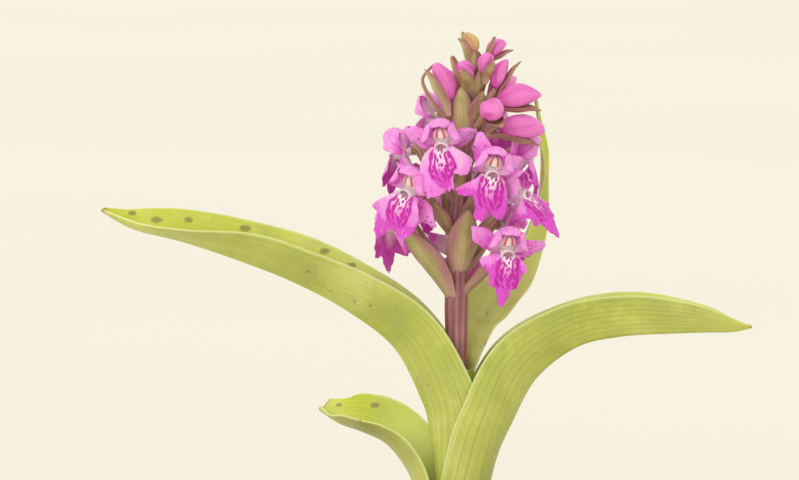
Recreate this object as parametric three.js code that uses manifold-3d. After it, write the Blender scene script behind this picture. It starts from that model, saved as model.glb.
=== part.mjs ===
// A broad-leaved marsh orchid in a plain clay pot.
// Units are millimetres, +Z is up, and the origin is the middle of the pot's foot.
// The plant is seen from -Y: a bearing of 0 faces that way, and 90 faces +X.
import * as THREE from "three";
import { mergeVertices } from "three/addons/utils/BufferGeometryUtils.js";
import Module from "manifold-3d";

const wasm = await Module();
wasm.setup();

// Pot and soil
const POT_HEIGHT = 92;
const POT_FOOT_RADIUS = 37;
const POT_WAIST_RADIUS = 49;
const POT_RIM_RADIUS = 55;
const RIM_HEIGHT = 18;
const WALL = 5;
const FLOOR = 6;
const DRAIN_RADIUS = 4;
const DRAIN_CIRCLE = 19;
const DRAINS = 3;
const POT_SIDES = 24;
const SOIL_TOP = 80;
const SOIL_DISH = 1.2;
const CRUMB_HEIGHT = 1.5;
const CRUMB_FREE_RADIUS = 10;

// The least room between two pieces, and how thick each kind of blade is
const GAP = 0.35;
const HOLE_GAP = 0.5;
const LEAF_THICKNESS = 0.9;
const PETAL_THICKNESS = 0.7;
const LIP_THICKNESS = 0.9;
const BRACT_THICKNESS = 0.8;

// Foot of the plant. Every leaf starts as a sheath round the stem, and the sheaths lie in one another.
const STEM_RADIUS = 2.9;
const STEM_FOOT = 48;
const SHEATH_TOP_OF_CONES = 92;
const SHEATH_FIRST_RADIUS = 3.75;
const SHEATH_STEP = 1.4;
const SHEATH_CONE_STEP = 3.6;
const SHEATH_WRAP = 150;

// The middle of the flower stem: [x, y, z, radius]
const RACHIS = [
  [0, 0, STEM_FOOT, 2.2],
  [0, 0, 64, STEM_RADIUS],
  [0, 0, 80, STEM_RADIUS],
  [0, 0, 96, STEM_RADIUS],
  [0, 0, 112, STEM_RADIUS],
  [-0.1, -0.1, 128, 2.75],
  [-0.3, -0.2, 144, 2.6],
  [-0.4, 0, 160, 3.0],
  [0, 0, 176, 2.5],
  [1.2, 0, 192, 2.2],
  [2.6, 0, 208, 1.7],
  [5.2, 0.6, 221.4, 0.9],
];
const RACHIS_LOW = STEM_FOOT;
const RACHIS_HIGH = 221.4;
const RACHIS_STEPS = 9;

const radians = THREE.MathUtils.degToRad;
const vector = (list) => new THREE.Vector3(list[0], list[1], list[2]);
const bearing = (degrees) =>
  new THREE.Vector3(Math.sin(radians(degrees)), -Math.cos(radians(degrees)), 0);

// A repeatable random number between 0 and 1 for each whole number.
const chance = (n) => {
  const s = Math.sin(n * 127.1 + 311.7) * 43758.5453;
  return s - Math.floor(s);
};

// Lists of numbers along a Catmull-Rom curve through evenly spaced stations.
function along(stations, t) {
  const last = stations.length - 1;
  const i = Math.min(Math.floor(t * last), last - 1);
  const f = t * last - i;
  const p1 = stations[i];
  const p2 = stations[i + 1];
  const beyond = (end, next) => end.map((v, k) => 2 * v - next[k]);
  const p0 = stations[i - 1] ?? beyond(p1, p2);
  const p3 = stations[i + 2] ?? beyond(p2, p1);
  return p1.map((v, k) => {
    const c1 = p2[k] - p0[k];
    const c2 = 2 * p0[k] - 5 * v + 4 * p2[k] - p3[k];
    const c3 = 3 * (v - p2[k]) + p3[k] - p0[k];
    return v + 0.5 * f * (c1 + f * (c2 + f * c3));
  });
}

function headingAlong(path, t) {
  const step = 0.01;
  const before = vector(along(path, Math.max(t - step, 0)));
  return vector(along(path, Math.min(t + step, 1))).sub(before).normalize();
}

function shapeOf(points, faces) {
  const shape = new THREE.BufferGeometry();
  const numbers = points.flatMap((p) => [p.x, p.y, p.z]);
  shape.setAttribute("position", new THREE.Float32BufferAttribute(numbers, 3));
  shape.setIndex(faces);
  return shape;
}

// A closed shape as a solid that can be joined and cut.
function solid(shape) {
  const merged = mergeVertices(shape, 1e-4);
  const made = new wasm.Manifold(
    new wasm.Mesh({
      numProp: 3,
      vertProperties: new Float32Array(merged.attributes.position.array),
      triVerts: new Uint32Array(merged.index.array),
    }),
  );
  if (made.volume() <= 0) throw new Error("a shape is inside out");
  return made;
}

const joined = (solids) => solids.reduce((whole, next) => whole.add(next));

function meshOf(name, made, material) {
  const { numProp, numVert, vertProperties, triVerts } = made.getMesh();
  const points = [];
  for (let i = 0; i < numVert; i++) {
    points.push(vector(vertProperties.subarray(i * numProp, i * numProp + 3)));
  }
  const mesh = new THREE.Mesh(shapeOf(points, [...triVerts]).toNonIndexed(), material);
  mesh.geometry.computeVertexNormals();
  mesh.name = name;
  return mesh;
}

// Two faces of a sheet, each a list of rows of points, closed round the rim.
// A last row of one point is a pointed tip.
function sheetShape(inner, outer) {
  const columns = inner[0].length - 1;
  const pointed = inner[inner.length - 1].length === 1;
  const rows = pointed ? inner.length - 2 : inner.length - 1;
  const points = [...outer.flat(), ...inner.flat()];
  const under = outer.flat().length;
  const faces = [];
  const at = (r, c) => r * (columns + 1) + c;
  const quad = (a, b, c, d) => faces.push(a, b, c, a, c, d);
  for (let r = 0; r < rows; r++) {
    for (let c = 0; c < columns; c++) {
      const [a, b, d, e] = [at(r, c), at(r, c + 1), at(r + 1, c + 1), at(r + 1, c)];
      faces.push(a, b, d, a, d, e);
      faces.push(a + under, d + under, b + under, a + under, e + under, d + under);
    }
    quad(at(r, 0) + under, at(r, 0), at(r + 1, 0), at(r + 1, 0) + under);
    quad(at(r, columns), at(r, columns) + under, at(r + 1, columns) + under, at(r + 1, columns));
  }
  for (let c = 0; c < columns; c++) {
    quad(at(0, c) + under, at(0, c + 1) + under, at(0, c + 1), at(0, c));
    if (!pointed) quad(at(rows, c), at(rows, c + 1), at(rows, c + 1) + under, at(rows, c) + under);
  }
  if (pointed) {
    const tip = at(rows + 1, 0);
    for (let c = 0; c < columns; c++) {
      faces.push(at(rows, c), at(rows, c + 1), tip);
      faces.push(at(rows, c) + under, tip + under, at(rows, c + 1) + under);
    }
    quad(at(rows, 0) + under, at(rows, 0), tip, tip + under);
    quad(at(rows, columns), at(rows, columns) + under, tip + under, tip);
  }
  return shapeOf(points, faces);
}

// A thin blade that ends in a point. Each station of its middle rib is
// [x, y, z, half width, cup, fold, roll, level], with angles in degrees. Cup is how far each half bends
// up by its edge, fold is the angle at which it leaves the rib, and roll turns the whole about the rib.
// The section is square to the rib, or flat where level is 1.
function bladeShape({ rib, side, thickness, columns, at }) {
  const inner = [];
  const outer = [];
  for (const t of at) {
    const [x, y, z, half, cup, fold, roll, level = 0] = along(rib, t);
    const centre = new THREE.Vector3(x, y, z);
    const forward = headingAlong(rib, t).lerp(new THREE.Vector3(0, 0, 1), level).normalize();
    const across = vector(side).addScaledVector(forward, -vector(side).dot(forward)).normalize();
    across.applyAxisAngle(forward, radians(roll));
    const inward = forward.clone().cross(across);
    if (t === 1) {
      inner.push([centre.clone().addScaledVector(inward, thickness / 2)]);
      outer.push([centre.clone().addScaledVector(inward, -thickness / 2)]);
      continue;
    }
    const crease = radians(fold);
    const bend = Math.max(radians(cup), 0.001) / half;
    const rows = [[], []];
    for (let c = 0; c <= columns; c++) {
      const reach = half * ((2 * c) / columns - 1);
      const sign = Math.sign(reach);
      const turn = sign === 0 ? 0 : crease + bend * Math.abs(reach);
      const out = sign === 0 ? 0 : (sign * (Math.sin(turn) - Math.sin(crease))) / bend;
      const up = sign === 0 ? 0 : (Math.cos(crease) - Math.cos(turn)) / bend;
      const point = centre.clone().addScaledVector(across, out).addScaledVector(inward, up);
      const normal = inward.clone().multiplyScalar(Math.cos(turn));
      normal.addScaledVector(across, -sign * Math.sin(turn));
      rows[0].push(point.clone().addScaledVector(normal, thickness / 2));
      rows[1].push(point.clone().addScaledVector(normal, -thickness / 2));
    }
    inner.push(rows[0]);
    outer.push(rows[1]);
  }
  return sheetShape(inner, outer);
}

// A closed round rod along stations of [x, y, z, radius].
function rodShape({ path, sides = 6, steps = 4 }) {
  const points = [];
  const faces = [];
  for (let k = 0; k <= steps; k++) {
    const t = k / steps;
    const [x, y, z, radius] = along(path, t);
    const forward = headingAlong(path, t);
    const steep = Math.abs(forward.z) > 0.8;
    const reference = steep ? new THREE.Vector3(0, -1, 0) : new THREE.Vector3(0, 0, 1);
    const u = new THREE.Vector3().crossVectors(reference, forward).normalize();
    const v = new THREE.Vector3().crossVectors(forward, u);
    for (let j = 0; j < sides; j++) {
      const angle = (2 * Math.PI * (j + 0.5)) / sides;
      const point = new THREE.Vector3(x, y, z).addScaledVector(u, radius * Math.cos(angle));
      points.push(point.addScaledVector(v, radius * Math.sin(angle)));
    }
  }
  for (let k = 0; k < steps; k++) {
    for (let j = 0; j < sides; j++) {
      const [a, b] = [k * sides + j, k * sides + ((j + 1) % sides)];
      faces.push(a, b, b + sides, a, b + sides, a + sides);
    }
  }
  for (let j = 1; j < sides - 1; j++) {
    faces.push(0, j + 1, j);
    faces.push(steps * sides, steps * sides + j, steps * sides + j + 1);
  }
  return shapeOf(points, faces);
}

// A ring-shaped or full turned body from a closed outline of [radius, z] pairs, counter-clockwise.
function turnedShape(outline, sides, lift = () => 0) {
  const points = [];
  const starts = [];
  for (const [radius, z] of outline) {
    starts.push(points.length);
    const count = radius === 0 ? 1 : sides;
    for (let j = 0; j < count; j++) {
      const angle = (2 * Math.PI * j) / sides;
      const point = new THREE.Vector3(radius * Math.cos(angle), radius * Math.sin(angle), z);
      point.z += lift(point);
      points.push(point);
    }
  }
  const faces = [];
  for (let k = 0; k < outline.length; k++) {
    const next = (k + 1) % outline.length;
    const lone = outline[k][0] === 0;
    const nextLone = outline[next][0] === 0;
    if (lone && nextLone) continue;
    for (let j = 0; j < sides; j++) {
      const j2 = (j + 1) % sides;
      const a = starts[k] + (lone ? 0 : j);
      const b = starts[k] + (lone ? 0 : j2);
      const c = starts[next] + (nextLone ? 0 : j2);
      const d = starts[next] + (nextLone ? 0 : j);
      if (!lone) faces.push(a, b, c);
      if (!nextLone) faces.push(a, c, d);
    }
  }
  return shapeOf(points, faces);
}

const finish = (color, roughness) =>
  new THREE.MeshStandardMaterial({ color, roughness, metalness: 0 });

// Clay pot: a tapered wall, a thick band for a rim, and drain holes round the middle of its floor
const potOutline = [
  [0, 0],
  [POT_FOOT_RADIUS - 2, 0],
  [POT_FOOT_RADIUS, 1.5],
  [POT_WAIST_RADIUS, POT_HEIGHT - RIM_HEIGHT],
  [POT_RIM_RADIUS - 2.5, POT_HEIGHT - RIM_HEIGHT + 1],
  [POT_RIM_RADIUS - 1, POT_HEIGHT - RIM_HEIGHT + 3],
  [POT_RIM_RADIUS, POT_HEIGHT - 2],
  [POT_RIM_RADIUS - 1.5, POT_HEIGHT],
  [POT_RIM_RADIUS - WALL + 1, POT_HEIGHT],
  [POT_RIM_RADIUS - WALL - 0.5, POT_HEIGHT - 2],
  [POT_WAIST_RADIUS - WALL + 1, POT_HEIGHT - RIM_HEIGHT],
  [POT_FOOT_RADIUS - WALL, FLOOR],
  [0, FLOOR],
];
const drains = Array.from({ length: DRAINS }, (_, k) => {
  const place = bearing((360 * k) / DRAINS + 60).multiplyScalar(DRAIN_CIRCLE);
  const hole = [
    [place.x, place.y, -5, DRAIN_RADIUS],
    [place.x, place.y, FLOOR + 5, DRAIN_RADIUS],
  ];
  return solid(rodShape({ path: hole, sides: 12, steps: 1 }));
});
let pot = solid(turnedShape(potOutline, POT_SIDES));
for (const hole of drains) pot = pot.subtract(hole);

// Two tubers shaped like small hands hold the foot of the stem
const TUBERS = [
  { towards: 110, tip: [9, -15], grow: 1 },
  { towards: -70, tip: [8, -13], grow: 0.85 },
];
function tuberShapes(extra) {
  const shapes = [];
  for (const { towards, grow } of TUBERS) {
    for (const spread of [-38, 0, 36]) {
      const out = bearing(towards + spread);
      const reach = (spread === 0 ? 13 : 11) * grow;
      const start = bearing(towards).multiplyScalar(1.5);
      const path = [
        [start.x, start.y, STEM_FOOT - 1 + extra, 2.6 + extra],
        [out.x * reach * 0.35, out.y * reach * 0.35, STEM_FOOT - 9, 3.8 * grow + extra],
        [out.x * reach * 0.75, out.y * reach * 0.75, STEM_FOOT - 19, 2.6 * grow + extra],
        [out.x * reach, out.y * reach, STEM_FOOT - 29 * grow - extra, 0.9 + extra],
      ];
      shapes.push(rodShape({ path, sides: 6, steps: 3 }));
    }
  }
  return shapes;
}
const tubers = joined(tuberShapes(0).map(solid));

// Potting soil: it fills the pot, is dished a little, and has a crumbly top
const innerRadiusAt = (z) => {
  const low = POT_FOOT_RADIUS - WALL;
  const high = POT_WAIST_RADIUS - WALL + 1;
  const rim = POT_RIM_RADIUS - WALL - 0.5;
  const shoulder = POT_HEIGHT - RIM_HEIGHT;
  if (z > shoulder) return high + ((rim - high) * (z - shoulder)) / (RIM_HEIGHT - 2);
  return low + ((high - low) * (z - FLOOR)) / (shoulder - FLOOR);
};
const soilRings = [0.84, 0.6, 0.38].map((share) => share * innerRadiusAt(SOIL_TOP));
const crumb = (p) => {
  const radius = Math.hypot(p.x, p.y);
  if (p.z < SOIL_TOP - 3 || radius < CRUMB_FREE_RADIUS) return 0;
  const n = Math.round(p.x * 3.1 + p.y * 47.7);
  return CRUMB_HEIGHT * (chance(n) - 0.5);
};
const soilEdge = innerRadiusAt(SOIL_TOP - 0.5) - GAP;
const soilOutline = [
  [0, FLOOR + GAP],
  [innerRadiusAt(FLOOR + GAP) - GAP - 0.2, FLOOR + GAP],
  [innerRadiusAt(POT_HEIGHT - RIM_HEIGHT) - GAP - 0.2, POT_HEIGHT - RIM_HEIGHT],
  [innerRadiusAt(SOIL_TOP - 4) - GAP - 0.2, SOIL_TOP - 4],
  [soilEdge - 0.6, SOIL_TOP - 0.4],
  ...soilRings.map((radius) => [radius, SOIL_TOP - SOIL_DISH * (1 - radius / soilEdge)]),
  [CRUMB_FREE_RADIUS - 2, SOIL_TOP - SOIL_DISH],
  [0, SOIL_TOP - SOIL_DISH],
];
let soil = solid(turnedShape(soilOutline, POT_SIDES, crumb));
const stemHole = [
  [0, 0, STEM_FOOT - 3, 2.2 + HOLE_GAP],
  [0, 0, 64, STEM_RADIUS + HOLE_GAP],
  [0, 0, SOIL_TOP + 5, STEM_RADIUS + HOLE_GAP],
];
soil = soil.subtract(solid(rodShape({ path: stemHole, sides: 12, steps: 4 })));
for (const shape of tuberShapes(HOLE_GAP)) soil = soil.subtract(solid(shape));

// Leaves. The first stations of each are its sheath, which circles the stem, and the rest its blade.
// Order says how far out its sheath lies, and from is the bearing that its middle rib has there.
const LEAVES = {
  leaf_back: {
    order: 0,
    from: 172,
    top: 138,
    blade: [
      [0.4, 4.15, 142.5, 7.4, 98, 0, 0, 1],
      [1.7, 4.2, 147, 5.4, 50, 0, 0, 0.6],
      [5.2, 8.8, 153.6, 7.2, 54, 10, 6],
      [9.8, 11.8, 160, 6.6, 30, 16, 20],
      [14.6, 15.6, 166.8, 5.6, 14, 20, 42],
      [18.4, 18.6, 174.6, 4.6, 8, 20, 62],
      [20.8, 19.8, 183.6, 3.9, 6, 18, 76],
      [21.6, 19.4, 192.6, 3.0, 6, 16, 84],
      [21.0, 17.6, 201.2, 1.9, 6, 12, 88],
      [19.8, 15.0, 209.4, 0.5, 4, 8, 88],
    ],
  },
  leaf_left: {
    order: 1,
    from: -90,
    top: 112,
    blade: [
      [-5.7, 0, 121, 13.6, 142, 0, 0, 1],
      [-6.9, 0, 128.2, 14.4, 90, 24, 0, 0.5],
      [-8.6, 0, 134.5, 15.0, 54, 39, 0, 0.1],
      [-15.6, 0, 148, 14.0, 28, 50, 0],
      [-27.4, -2.0, 157.6, 12.4, 14, 62, -8],
      [-40.6, -3.2, 164.8, 12.0, 12, 58, -14],
      [-54.4, -4.2, 170.4, 10.4, 12, 54, -14],
      [-68.6, -5.0, 175.2, 8.2, 14, 44, -24],
      [-80.6, -5.6, 178.4, 5.4, 14, 38, -27],
      [-88.8, -6.0, 183.0, 0.6, 10, 34, -20],
    ],
  },
  leaf_right: {
    order: 2,
    from: 90,
    top: 106,
    blade: [
      [8.0, 0, 114.5, 17.0, 132, 0, 0, 1],
      [9.9, 0, 121.5, 17.0, 118, 4, 0, 0.7],
      [13.0, 0, 128.5, 16.2, 69, 25, 0, 0.2],
      [19.4, 0, 140.4, 14.8, 33, 47, -2],
      [29.6, -2.2, 148.6, 12.2, 14, 58, -3],
      [40.6, -3.4, 151.4, 11.4, 12, 60, 0],
      [51.8, -4.4, 152.2, 10.2, 12, 56, 0],
      [61.4, -5.0, 152.6, 7.6, 14, 50, -4],
      [68.4, -5.6, 152.8, 4.0, 14, 44, -6],
      [73.2, -6.0, 153.8, 0.6, 10, 34, -8],
    ],
  },
  leaf_low_left: {
    order: 3,
    from: -118,
    wrap: 134,
    top: 100,
    blade: [
      [-8.4, 4.5, 104.6, 18.6, 120, 0, 0, 1],
      [-9.6, 5.1, 110.0, 14.2, 94, 0, 0, 0.9],
      [-12.4, 7.0, 116.4, 11.2, 40, 34, -6],
      [-17.6, 10.4, 122.6, 10.8, 22, 44, -18],
      [-23.8, 13.6, 125.4, 9.8, 16, 46, -28],
      [-29.6, 16.4, 127.2, 7.4, 14, 44, -26],
      [-34.6, 18.4, 130.2, 3.4, 14, 40, -22],
    ],
  },
};
function leafShape({ order, from, top, blade, wrap = SHEATH_WRAP }) {
  const radius = SHEATH_FIRST_RADIUS + order * SHEATH_STEP;
  const foot = SHEATH_TOP_OF_CONES + 1.5 - order * SHEATH_CONE_STEP;
  const out = bearing(from);
  const rings = [
    [SHEATH_FIRST_RADIUS, foot],
    [radius, SHEATH_TOP_OF_CONES + 1],
    [radius, top],
  ];
  if (order === 0) rings.splice(1, 1);
  const sheath = rings.map(([r, z]) => {
    return [out.x * r, out.y * r, z, r * radians(wrap), wrap, 0, 0, 1];
  });
  const rib = [...sheath, ...blade.map((station) => [...station, 0].slice(0, 8))];
  const side = new THREE.Vector3(0, 0, 1).cross(out).toArray();
  const last = rib.length - 1;
  const at = rib.map((_, k) => k / last);
  return bladeShape({ rib, side, thickness: LEAF_THICKNESS, columns: 10, at });
}

// Flowers. Each has a mouth at [x, y, z], a way it turns, a nod, a lean in its own plane, and a size.
// Spread is how wide the lip is held. Wings are [raise, swing] of the left and of the right sepal.
const BLOOMS = {
  bloom_01: {
    mouth: [-4.2, -13.6, 199.4],
    turn: -6, nod: 8, lean: -3, size: 1.0, spread: 0.82,
    left: [-8, 10], right: [-26, 34],
  },
  bloom_02: {
    mouth: [8.2, -13.6, 192.4],
    turn: 6, nod: 6, lean: 9, size: 1.0, spread: 0.94,
    left: [34, 4], right: [-10, 30],
  },
  bloom_03: {
    mouth: [-12.3, -10.5, 187.6],
    turn: -30, nod: 6, lean: 16, size: 1.0, spread: 0.86,
    left: [-10, 30], right: [-70, 0],
  },
  bloom_04: {
    mouth: [12.0, -10.8, 172.6],
    turn: 8, nod: 10, lean: 4, size: 1.0, spread: 0.74,
    left: [0, 6], right: [-20, 10],
  },
  bloom_05: {
    mouth: [15.6,-5.0,186.0],
    turn: 54, nod: -24, lean: -18, size: 0.96, spread: 0.8,
    left: [60,0], right: [0, 20],
  },
  bloom_06: {
    mouth: [-14.4, 3.6, 196.4],
    turn: -122, nod: 4, lean: 0, size: 0.92, spread: 0.82,
    left: [0, 20], right: [0, 20],
  },
  bloom_07: {
    mouth: [-15.8, 9.2, 178.0],
    turn: -142, nod: 8, lean: 0, size: 0.96, spread: 0.82,
    left: [0, 20], right: [0, 20],
  },
  bloom_08: {
    mouth: [17.0, 4.4, 195.0],
    turn: 95, nod: 4, lean: 0, size: 0.84, spread: 0.8,
    left: [0, 24], right: [0, 24],
  },
  bloom_09: {
    mouth: [13.4, 7.8, 177.2],
    turn: 121, nod: 8, lean: 0, size: 0.88, spread: 0.8,
    left: [0, 24], right: [0, 24],
  },
  bloom_10: {
    mouth: [0.8, 14.6, 170.4],
    turn: 180, nod: 8, lean: 4, size: 0.96, spread: 0.82,
    left: [0, 20], right: [0, 20],
  },
  bloom_11: {
    mouth: [-6.2, 13.6, 187.4],
    turn: 204, nod: 8, lean: -4, size: 0.92, spread: 0.82,
    left: [0, 20], right: [0, 20],
  },
  bloom_12: {
    mouth: [8.6, 12.8, 203.2],
    turn: 154, nod: 8, lean: 0, size: 0.84, spread: 0.8,
    left: [0, 24], right: [0, 24],
  },
  bloom_13: {
    mouth: [-6.2, 11.6, 205.2],
    turn: 212, nod: 6, lean: 0, size: 0.88, spread: 0.8,
    left: [0, 24], right: [0, 24],
  },
  bloom_14: {
    mouth: [8.2, 13.0, 187.6],
    turn: 154, nod: 8, lean: 0, size: 0.84, spread: 0.8,
    left: [0, 24], right: [0, 24],
  },
};

// Outline of the lip as [degrees from straight down, length], for one side: lobe, notch, middle lobe.
const LIP = [
  [0, 11.8],
  [13, 10.2],
  [23, 7.6],
  [40, 8.5],
  [60, 9.4],
  [94, 3.8],
];
const lipDepth = (x, z, spread) => {
  const down = Math.min(Math.max(-z, 0) / 8, 1);
  return -2.0 - 2.0 * Math.sin((down * Math.PI) / 2) + (0.075 - 0.04 * spread) * x * x;
};
function lipShape(spread) {
  const spokes = [...LIP.slice(1).reverse().map(([a, l]) => [-a, l]), ...LIP];
  const face = (shift) =>
    [0, 0.5, 1].map((share) =>
      spokes.map(([angle, length]) => {
        const reach = Math.max(share * length, 0.35);
        const x = reach * Math.sin(radians(angle));
        const z = -0.6 - reach * Math.cos(radians(angle));
        return new THREE.Vector3(x * spread, lipDepth(x, z, spread) + shift, z);
      }),
    );
  return sheetShape(face(0), face(LIP_THICKNESS));
}

const PETAL_AT = [0, 0.34, 0.7, 1];
// Ribs of the other petals, on the right where there are two: [x, y, z, half width, cup, fold, roll]
const HOOD = [
  [0, 2.2, 0.6, 1.3, 40, 0, 0],
  [0, 2.2, 3.4, 3.6, 74, 0, 0],
  [0, -0.4, 5.8, 4.2, 76, 0, 0],
  [0, -4.2, 4.6, 0.5, 30, 0, 0],
];
const CHEEK = [
  [0.8, 0.8, 0.1, 0.8, 8, 0, 0],
  [2.6, -0.4, 1.0, 1.25, 12, 0, 0],
  [3.0, -2.4, 2.2, 1.2, 16, 0, 0],
  [1.9, -4.0, 3.0, 0.3, 16, 0, 0],
];
const WING = [
  [0.9, 1.7, 0.2, 0.9, 12, 0, 0],
  [4.0, 1.9, 1.6, 1.8, 16, 0, 0],
  [6.8, 1.6, 3.6, 1.7, 14, 0, 0],
  [9.0, 1.8, 5.6, 0.4, 10, 0, 0],
];
const THROAT = [
  [0, 3.8, 0.6, 1.2],
  [0, 1.4, 0.3, 1.9],
  [0, -2.6, -0.9, 1.1],
];
const COLUMN = [
  [0, 0.8, 0.8, 1.1],
  [0, -1.2, 2.6, 0.8],
];
const SPUR = [
  [0, 0.4, -0.4, 1.5],
  [0, 2.0, -2.8, 1.3],
  [0, 3.4, -5.4, 1.0],
  [0, 4.0, -7.8, 0.6],
];
const mirrored = (rib) =>
  rib.map(([x, y, z, half, cup, fold, roll]) => [-x, y, z, half, cup, fold, -roll]);

function bloomPlace({ mouth, turn, nod, lean, size }) {
  const place = new THREE.Matrix4().makeTranslation(...mouth);
  place.multiply(new THREE.Matrix4().makeRotationZ(radians(turn)));
  place.multiply(new THREE.Matrix4().makeRotationX(radians(nod)));
  place.multiply(new THREE.Matrix4().makeRotationY(radians(lean)));
  return place.multiply(new THREE.Matrix4().makeScale(size, size, size));
}

function bloomShapes({ spread, left, right }) {
  const petal = (rib, side) =>
    bladeShape({ rib, side, thickness: PETAL_THICKNESS, columns: 2, at: PETAL_AT });
  const held = (wing, [raise, swing], sign) => {
    wing.applyMatrix4(new THREE.Matrix4().makeRotationZ(radians(sign * swing)));
    return wing.applyMatrix4(new THREE.Matrix4().makeRotationY(radians(-sign * raise)));
  };
  return [
    rodShape({ path: THROAT, sides: 6, steps: 2 }),
    rodShape({ path: COLUMN, sides: 5, steps: 1 }),
    rodShape({ path: SPUR, sides: 5, steps: 2 }),
    lipShape(spread),
    petal(HOOD, [-1, 0, 0]),
    petal(CHEEK, [-0.4, -0.3, 1]),
    petal(mirrored(CHEEK), [-0.4, 0.3, -1]),
    held(petal(WING, [0.5, 0.2, -1]), right, 1),
    held(petal(mirrored(WING), [0.5, -0.2, 1]), left, -1),
  ];
}

// Buds: closed, [x, y, z] of the middle, the bearing and rise of the tip, length and girth.
const BUDS = {
  bud_01: { middle: [-4.0, -2.6, 214.8], towards: -60, rise: 66, length: 10.0, girth: 5.2 },
  bud_02: { middle: [15.4, -1.6, 210.6], towards: 86, rise: 8, length: 10.8, girth: 6.2 },
  bud_12: { middle: [16.2, -1.4, 202.8], towards: 92, rise: -4, length: 11.0, girth: 6.2 },
  bud_03: { middle: [8.4, -9.8, 207.4], towards: 14, rise: 2, length: 8.6, girth: 6.0 },
  bud_04: { middle: [10.8, -1.8, 216.8], towards: 76, rise: 66, length: 7.6, girth: 4.4 },
  bud_05: { middle: [7.0, -5.6, 219.4], towards: 14, rise: 48, length: 6.4, girth: 4.0 },
  bud_06: { middle: [1.6, -5.2, 217.4], towards: -26, rise: 40, length: 6.6, girth: 4.2 },
  bud_07: { middle: [9.8, 0.6, 222.8], towards: 80, rise: 40, length: 5.4, girth: 4.0 },
  bud_08: { middle: [2.8, -2.0, 224.4], towards: -60, rise: 62, length: 5.6, girth: 3.6 },
  bud_09: { middle: [11.4, 6.6, 212.8], towards: 126, rise: 30, length: 9.6, girth: 5.6 },
  bud_10: { middle: [-1.6, 7.4, 213.8], towards: 196, rise: 44, length: 8.8, girth: 5.0 },
  bud_11: { middle: [6.0, 5.8, 217.6], towards: 166, rise: 52, length: 7.0, girth: 4.4 },
};
function budPath({ middle, towards, rise, length }) {
  const out = bearing(towards).multiplyScalar(Math.cos(radians(rise)));
  out.z = Math.sin(radians(rise));
  const point = (share) => vector(middle).addScaledVector(out, length * share);
  return { out, point };
}
function budShape(bud) {
  const { point } = budPath(bud);
  const r = bud.girth / 2;
  const shares = [
    [-0.5, 0.42],
    [-0.3, 0.86],
    [-0.05, 1],
    [0.2, 0.84],
    [0.38, 0.5],
    [0.5, 0.12],
  ];
  const path = shares.map(([share, fat]) => [...point(share).toArray(), r * fat]);
  return rodShape({ path, sides: 7, steps: 5 });
}

// Ovaries run from the flower stem to each flower or bud, and a bract stands below each
const rachisAt = (z) => {
  const t = Math.min(Math.max((z - RACHIS_LOW) / (RACHIS_HIGH - RACHIS_LOW), 0), 1);
  let low = 0;
  let high = 1;
  for (let k = 0; k < 24; k++) {
    const mid = (low + high) / 2;
    if (along(RACHIS, mid)[2] < z) low = mid;
    else high = mid;
  }
  return along(RACHIS, t === 1 ? 1 : low);
};
function ovaryPath(base, backwards, drop, thick, sink) {
  const [rx, ry, rz, radius] = rachisAt(base.z - drop);
  const foot = new THREE.Vector3(rx, ry, rz);
  const out = new THREE.Vector3(base.x - rx, base.y - ry, 0).normalize();
  const end = base.clone().addScaledVector(backwards, GAP);
  const neck = base.clone().addScaledVector(backwards, sink);
  const start = foot.addScaledVector(out, radius * 0.3);
  const bow = start.clone().lerp(neck, 0.5).addScaledVector(out, 0.7);
  return [
    [...start.toArray(), thick * 0.8],
    [...bow.toArray(), thick * 1.1],
    [...neck.toArray(), thick],
    [...end.toArray(), thick * 0.7],
  ];
}
function bractShape({ towards, z, length, width, spread, close = 0, turned = 0 }) {
  const [rx, ry, rz, radius] = rachisAt(z);
  const out = bearing(towards);
  const rise = [
    [radius * 0.45, -0.1, 0.42, 30],
    [radius + 0.6 + spread * 0.16, 0.22, 0.9, 34],
    [radius + 1.0 + spread * 0.46, 0.52, 1, 26],
    [radius + 1.0 + spread * (0.78 - close * 0.15), 0.8, 0.62, 20],
    [radius + 0.8 + spread * (1 - close * 0.6), 1, 0.14, 10],
  ];
  const rib = rise.map(([r, up, share, cup]) => [
    rx + out.x * r,
    ry + out.y * r,
    rz + up * length,
    (width / 2) * share,
    cup,
    10,
    turned * up,
  ]);
  const side = new THREE.Vector3(0, 0, 1).cross(out).toArray();
  const at = [0, 0.25, 0.5, 0.75, 1];
  return bladeShape({ rib, side, thickness: BRACT_THICKNESS, columns: 2, at });
}
const BRACTS = [
  { towards: -58, z: 161, length: 17.5, width: 9.4, spread: 11.6, turned: 30 },
  { towards: 24, z: 167, length: 16.0, width: 9.4, spread: 3.2 },
  { towards: -44, z: 177, length: 8.0, width: 3.8, spread: 5.0 },
  { towards: 62, z: 169, length: 10.0, width: 4.4, spread: 4.0 },
  { towards: -8, z: 186, length: 12.0, width: 4.0, spread: 1.0 },
  { towards: -14, z: 200, length: 13.5, width: 6.6, spread: 1.4 },
  { towards: 40, z: 203, length: 9.4, width: 5.0, spread: 3.6 },
  { towards: -88, z: 200, length: 19.0, width: 3.2, spread: 12.4, close: 1 },
  { towards: 176, z: 160, length: 12.0, width: 5.4, spread: 6.0 },
  { towards: -152, z: 177, length: 10.0, width: 4.6, spread: 4.0 },
  { towards: 146, z: 179, length: 10.0, width: 4.6, spread: 3.6 },
  { towards: 100, z: 186, length: 9.0, width: 4.0, spread: 3.6 },
];

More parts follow.
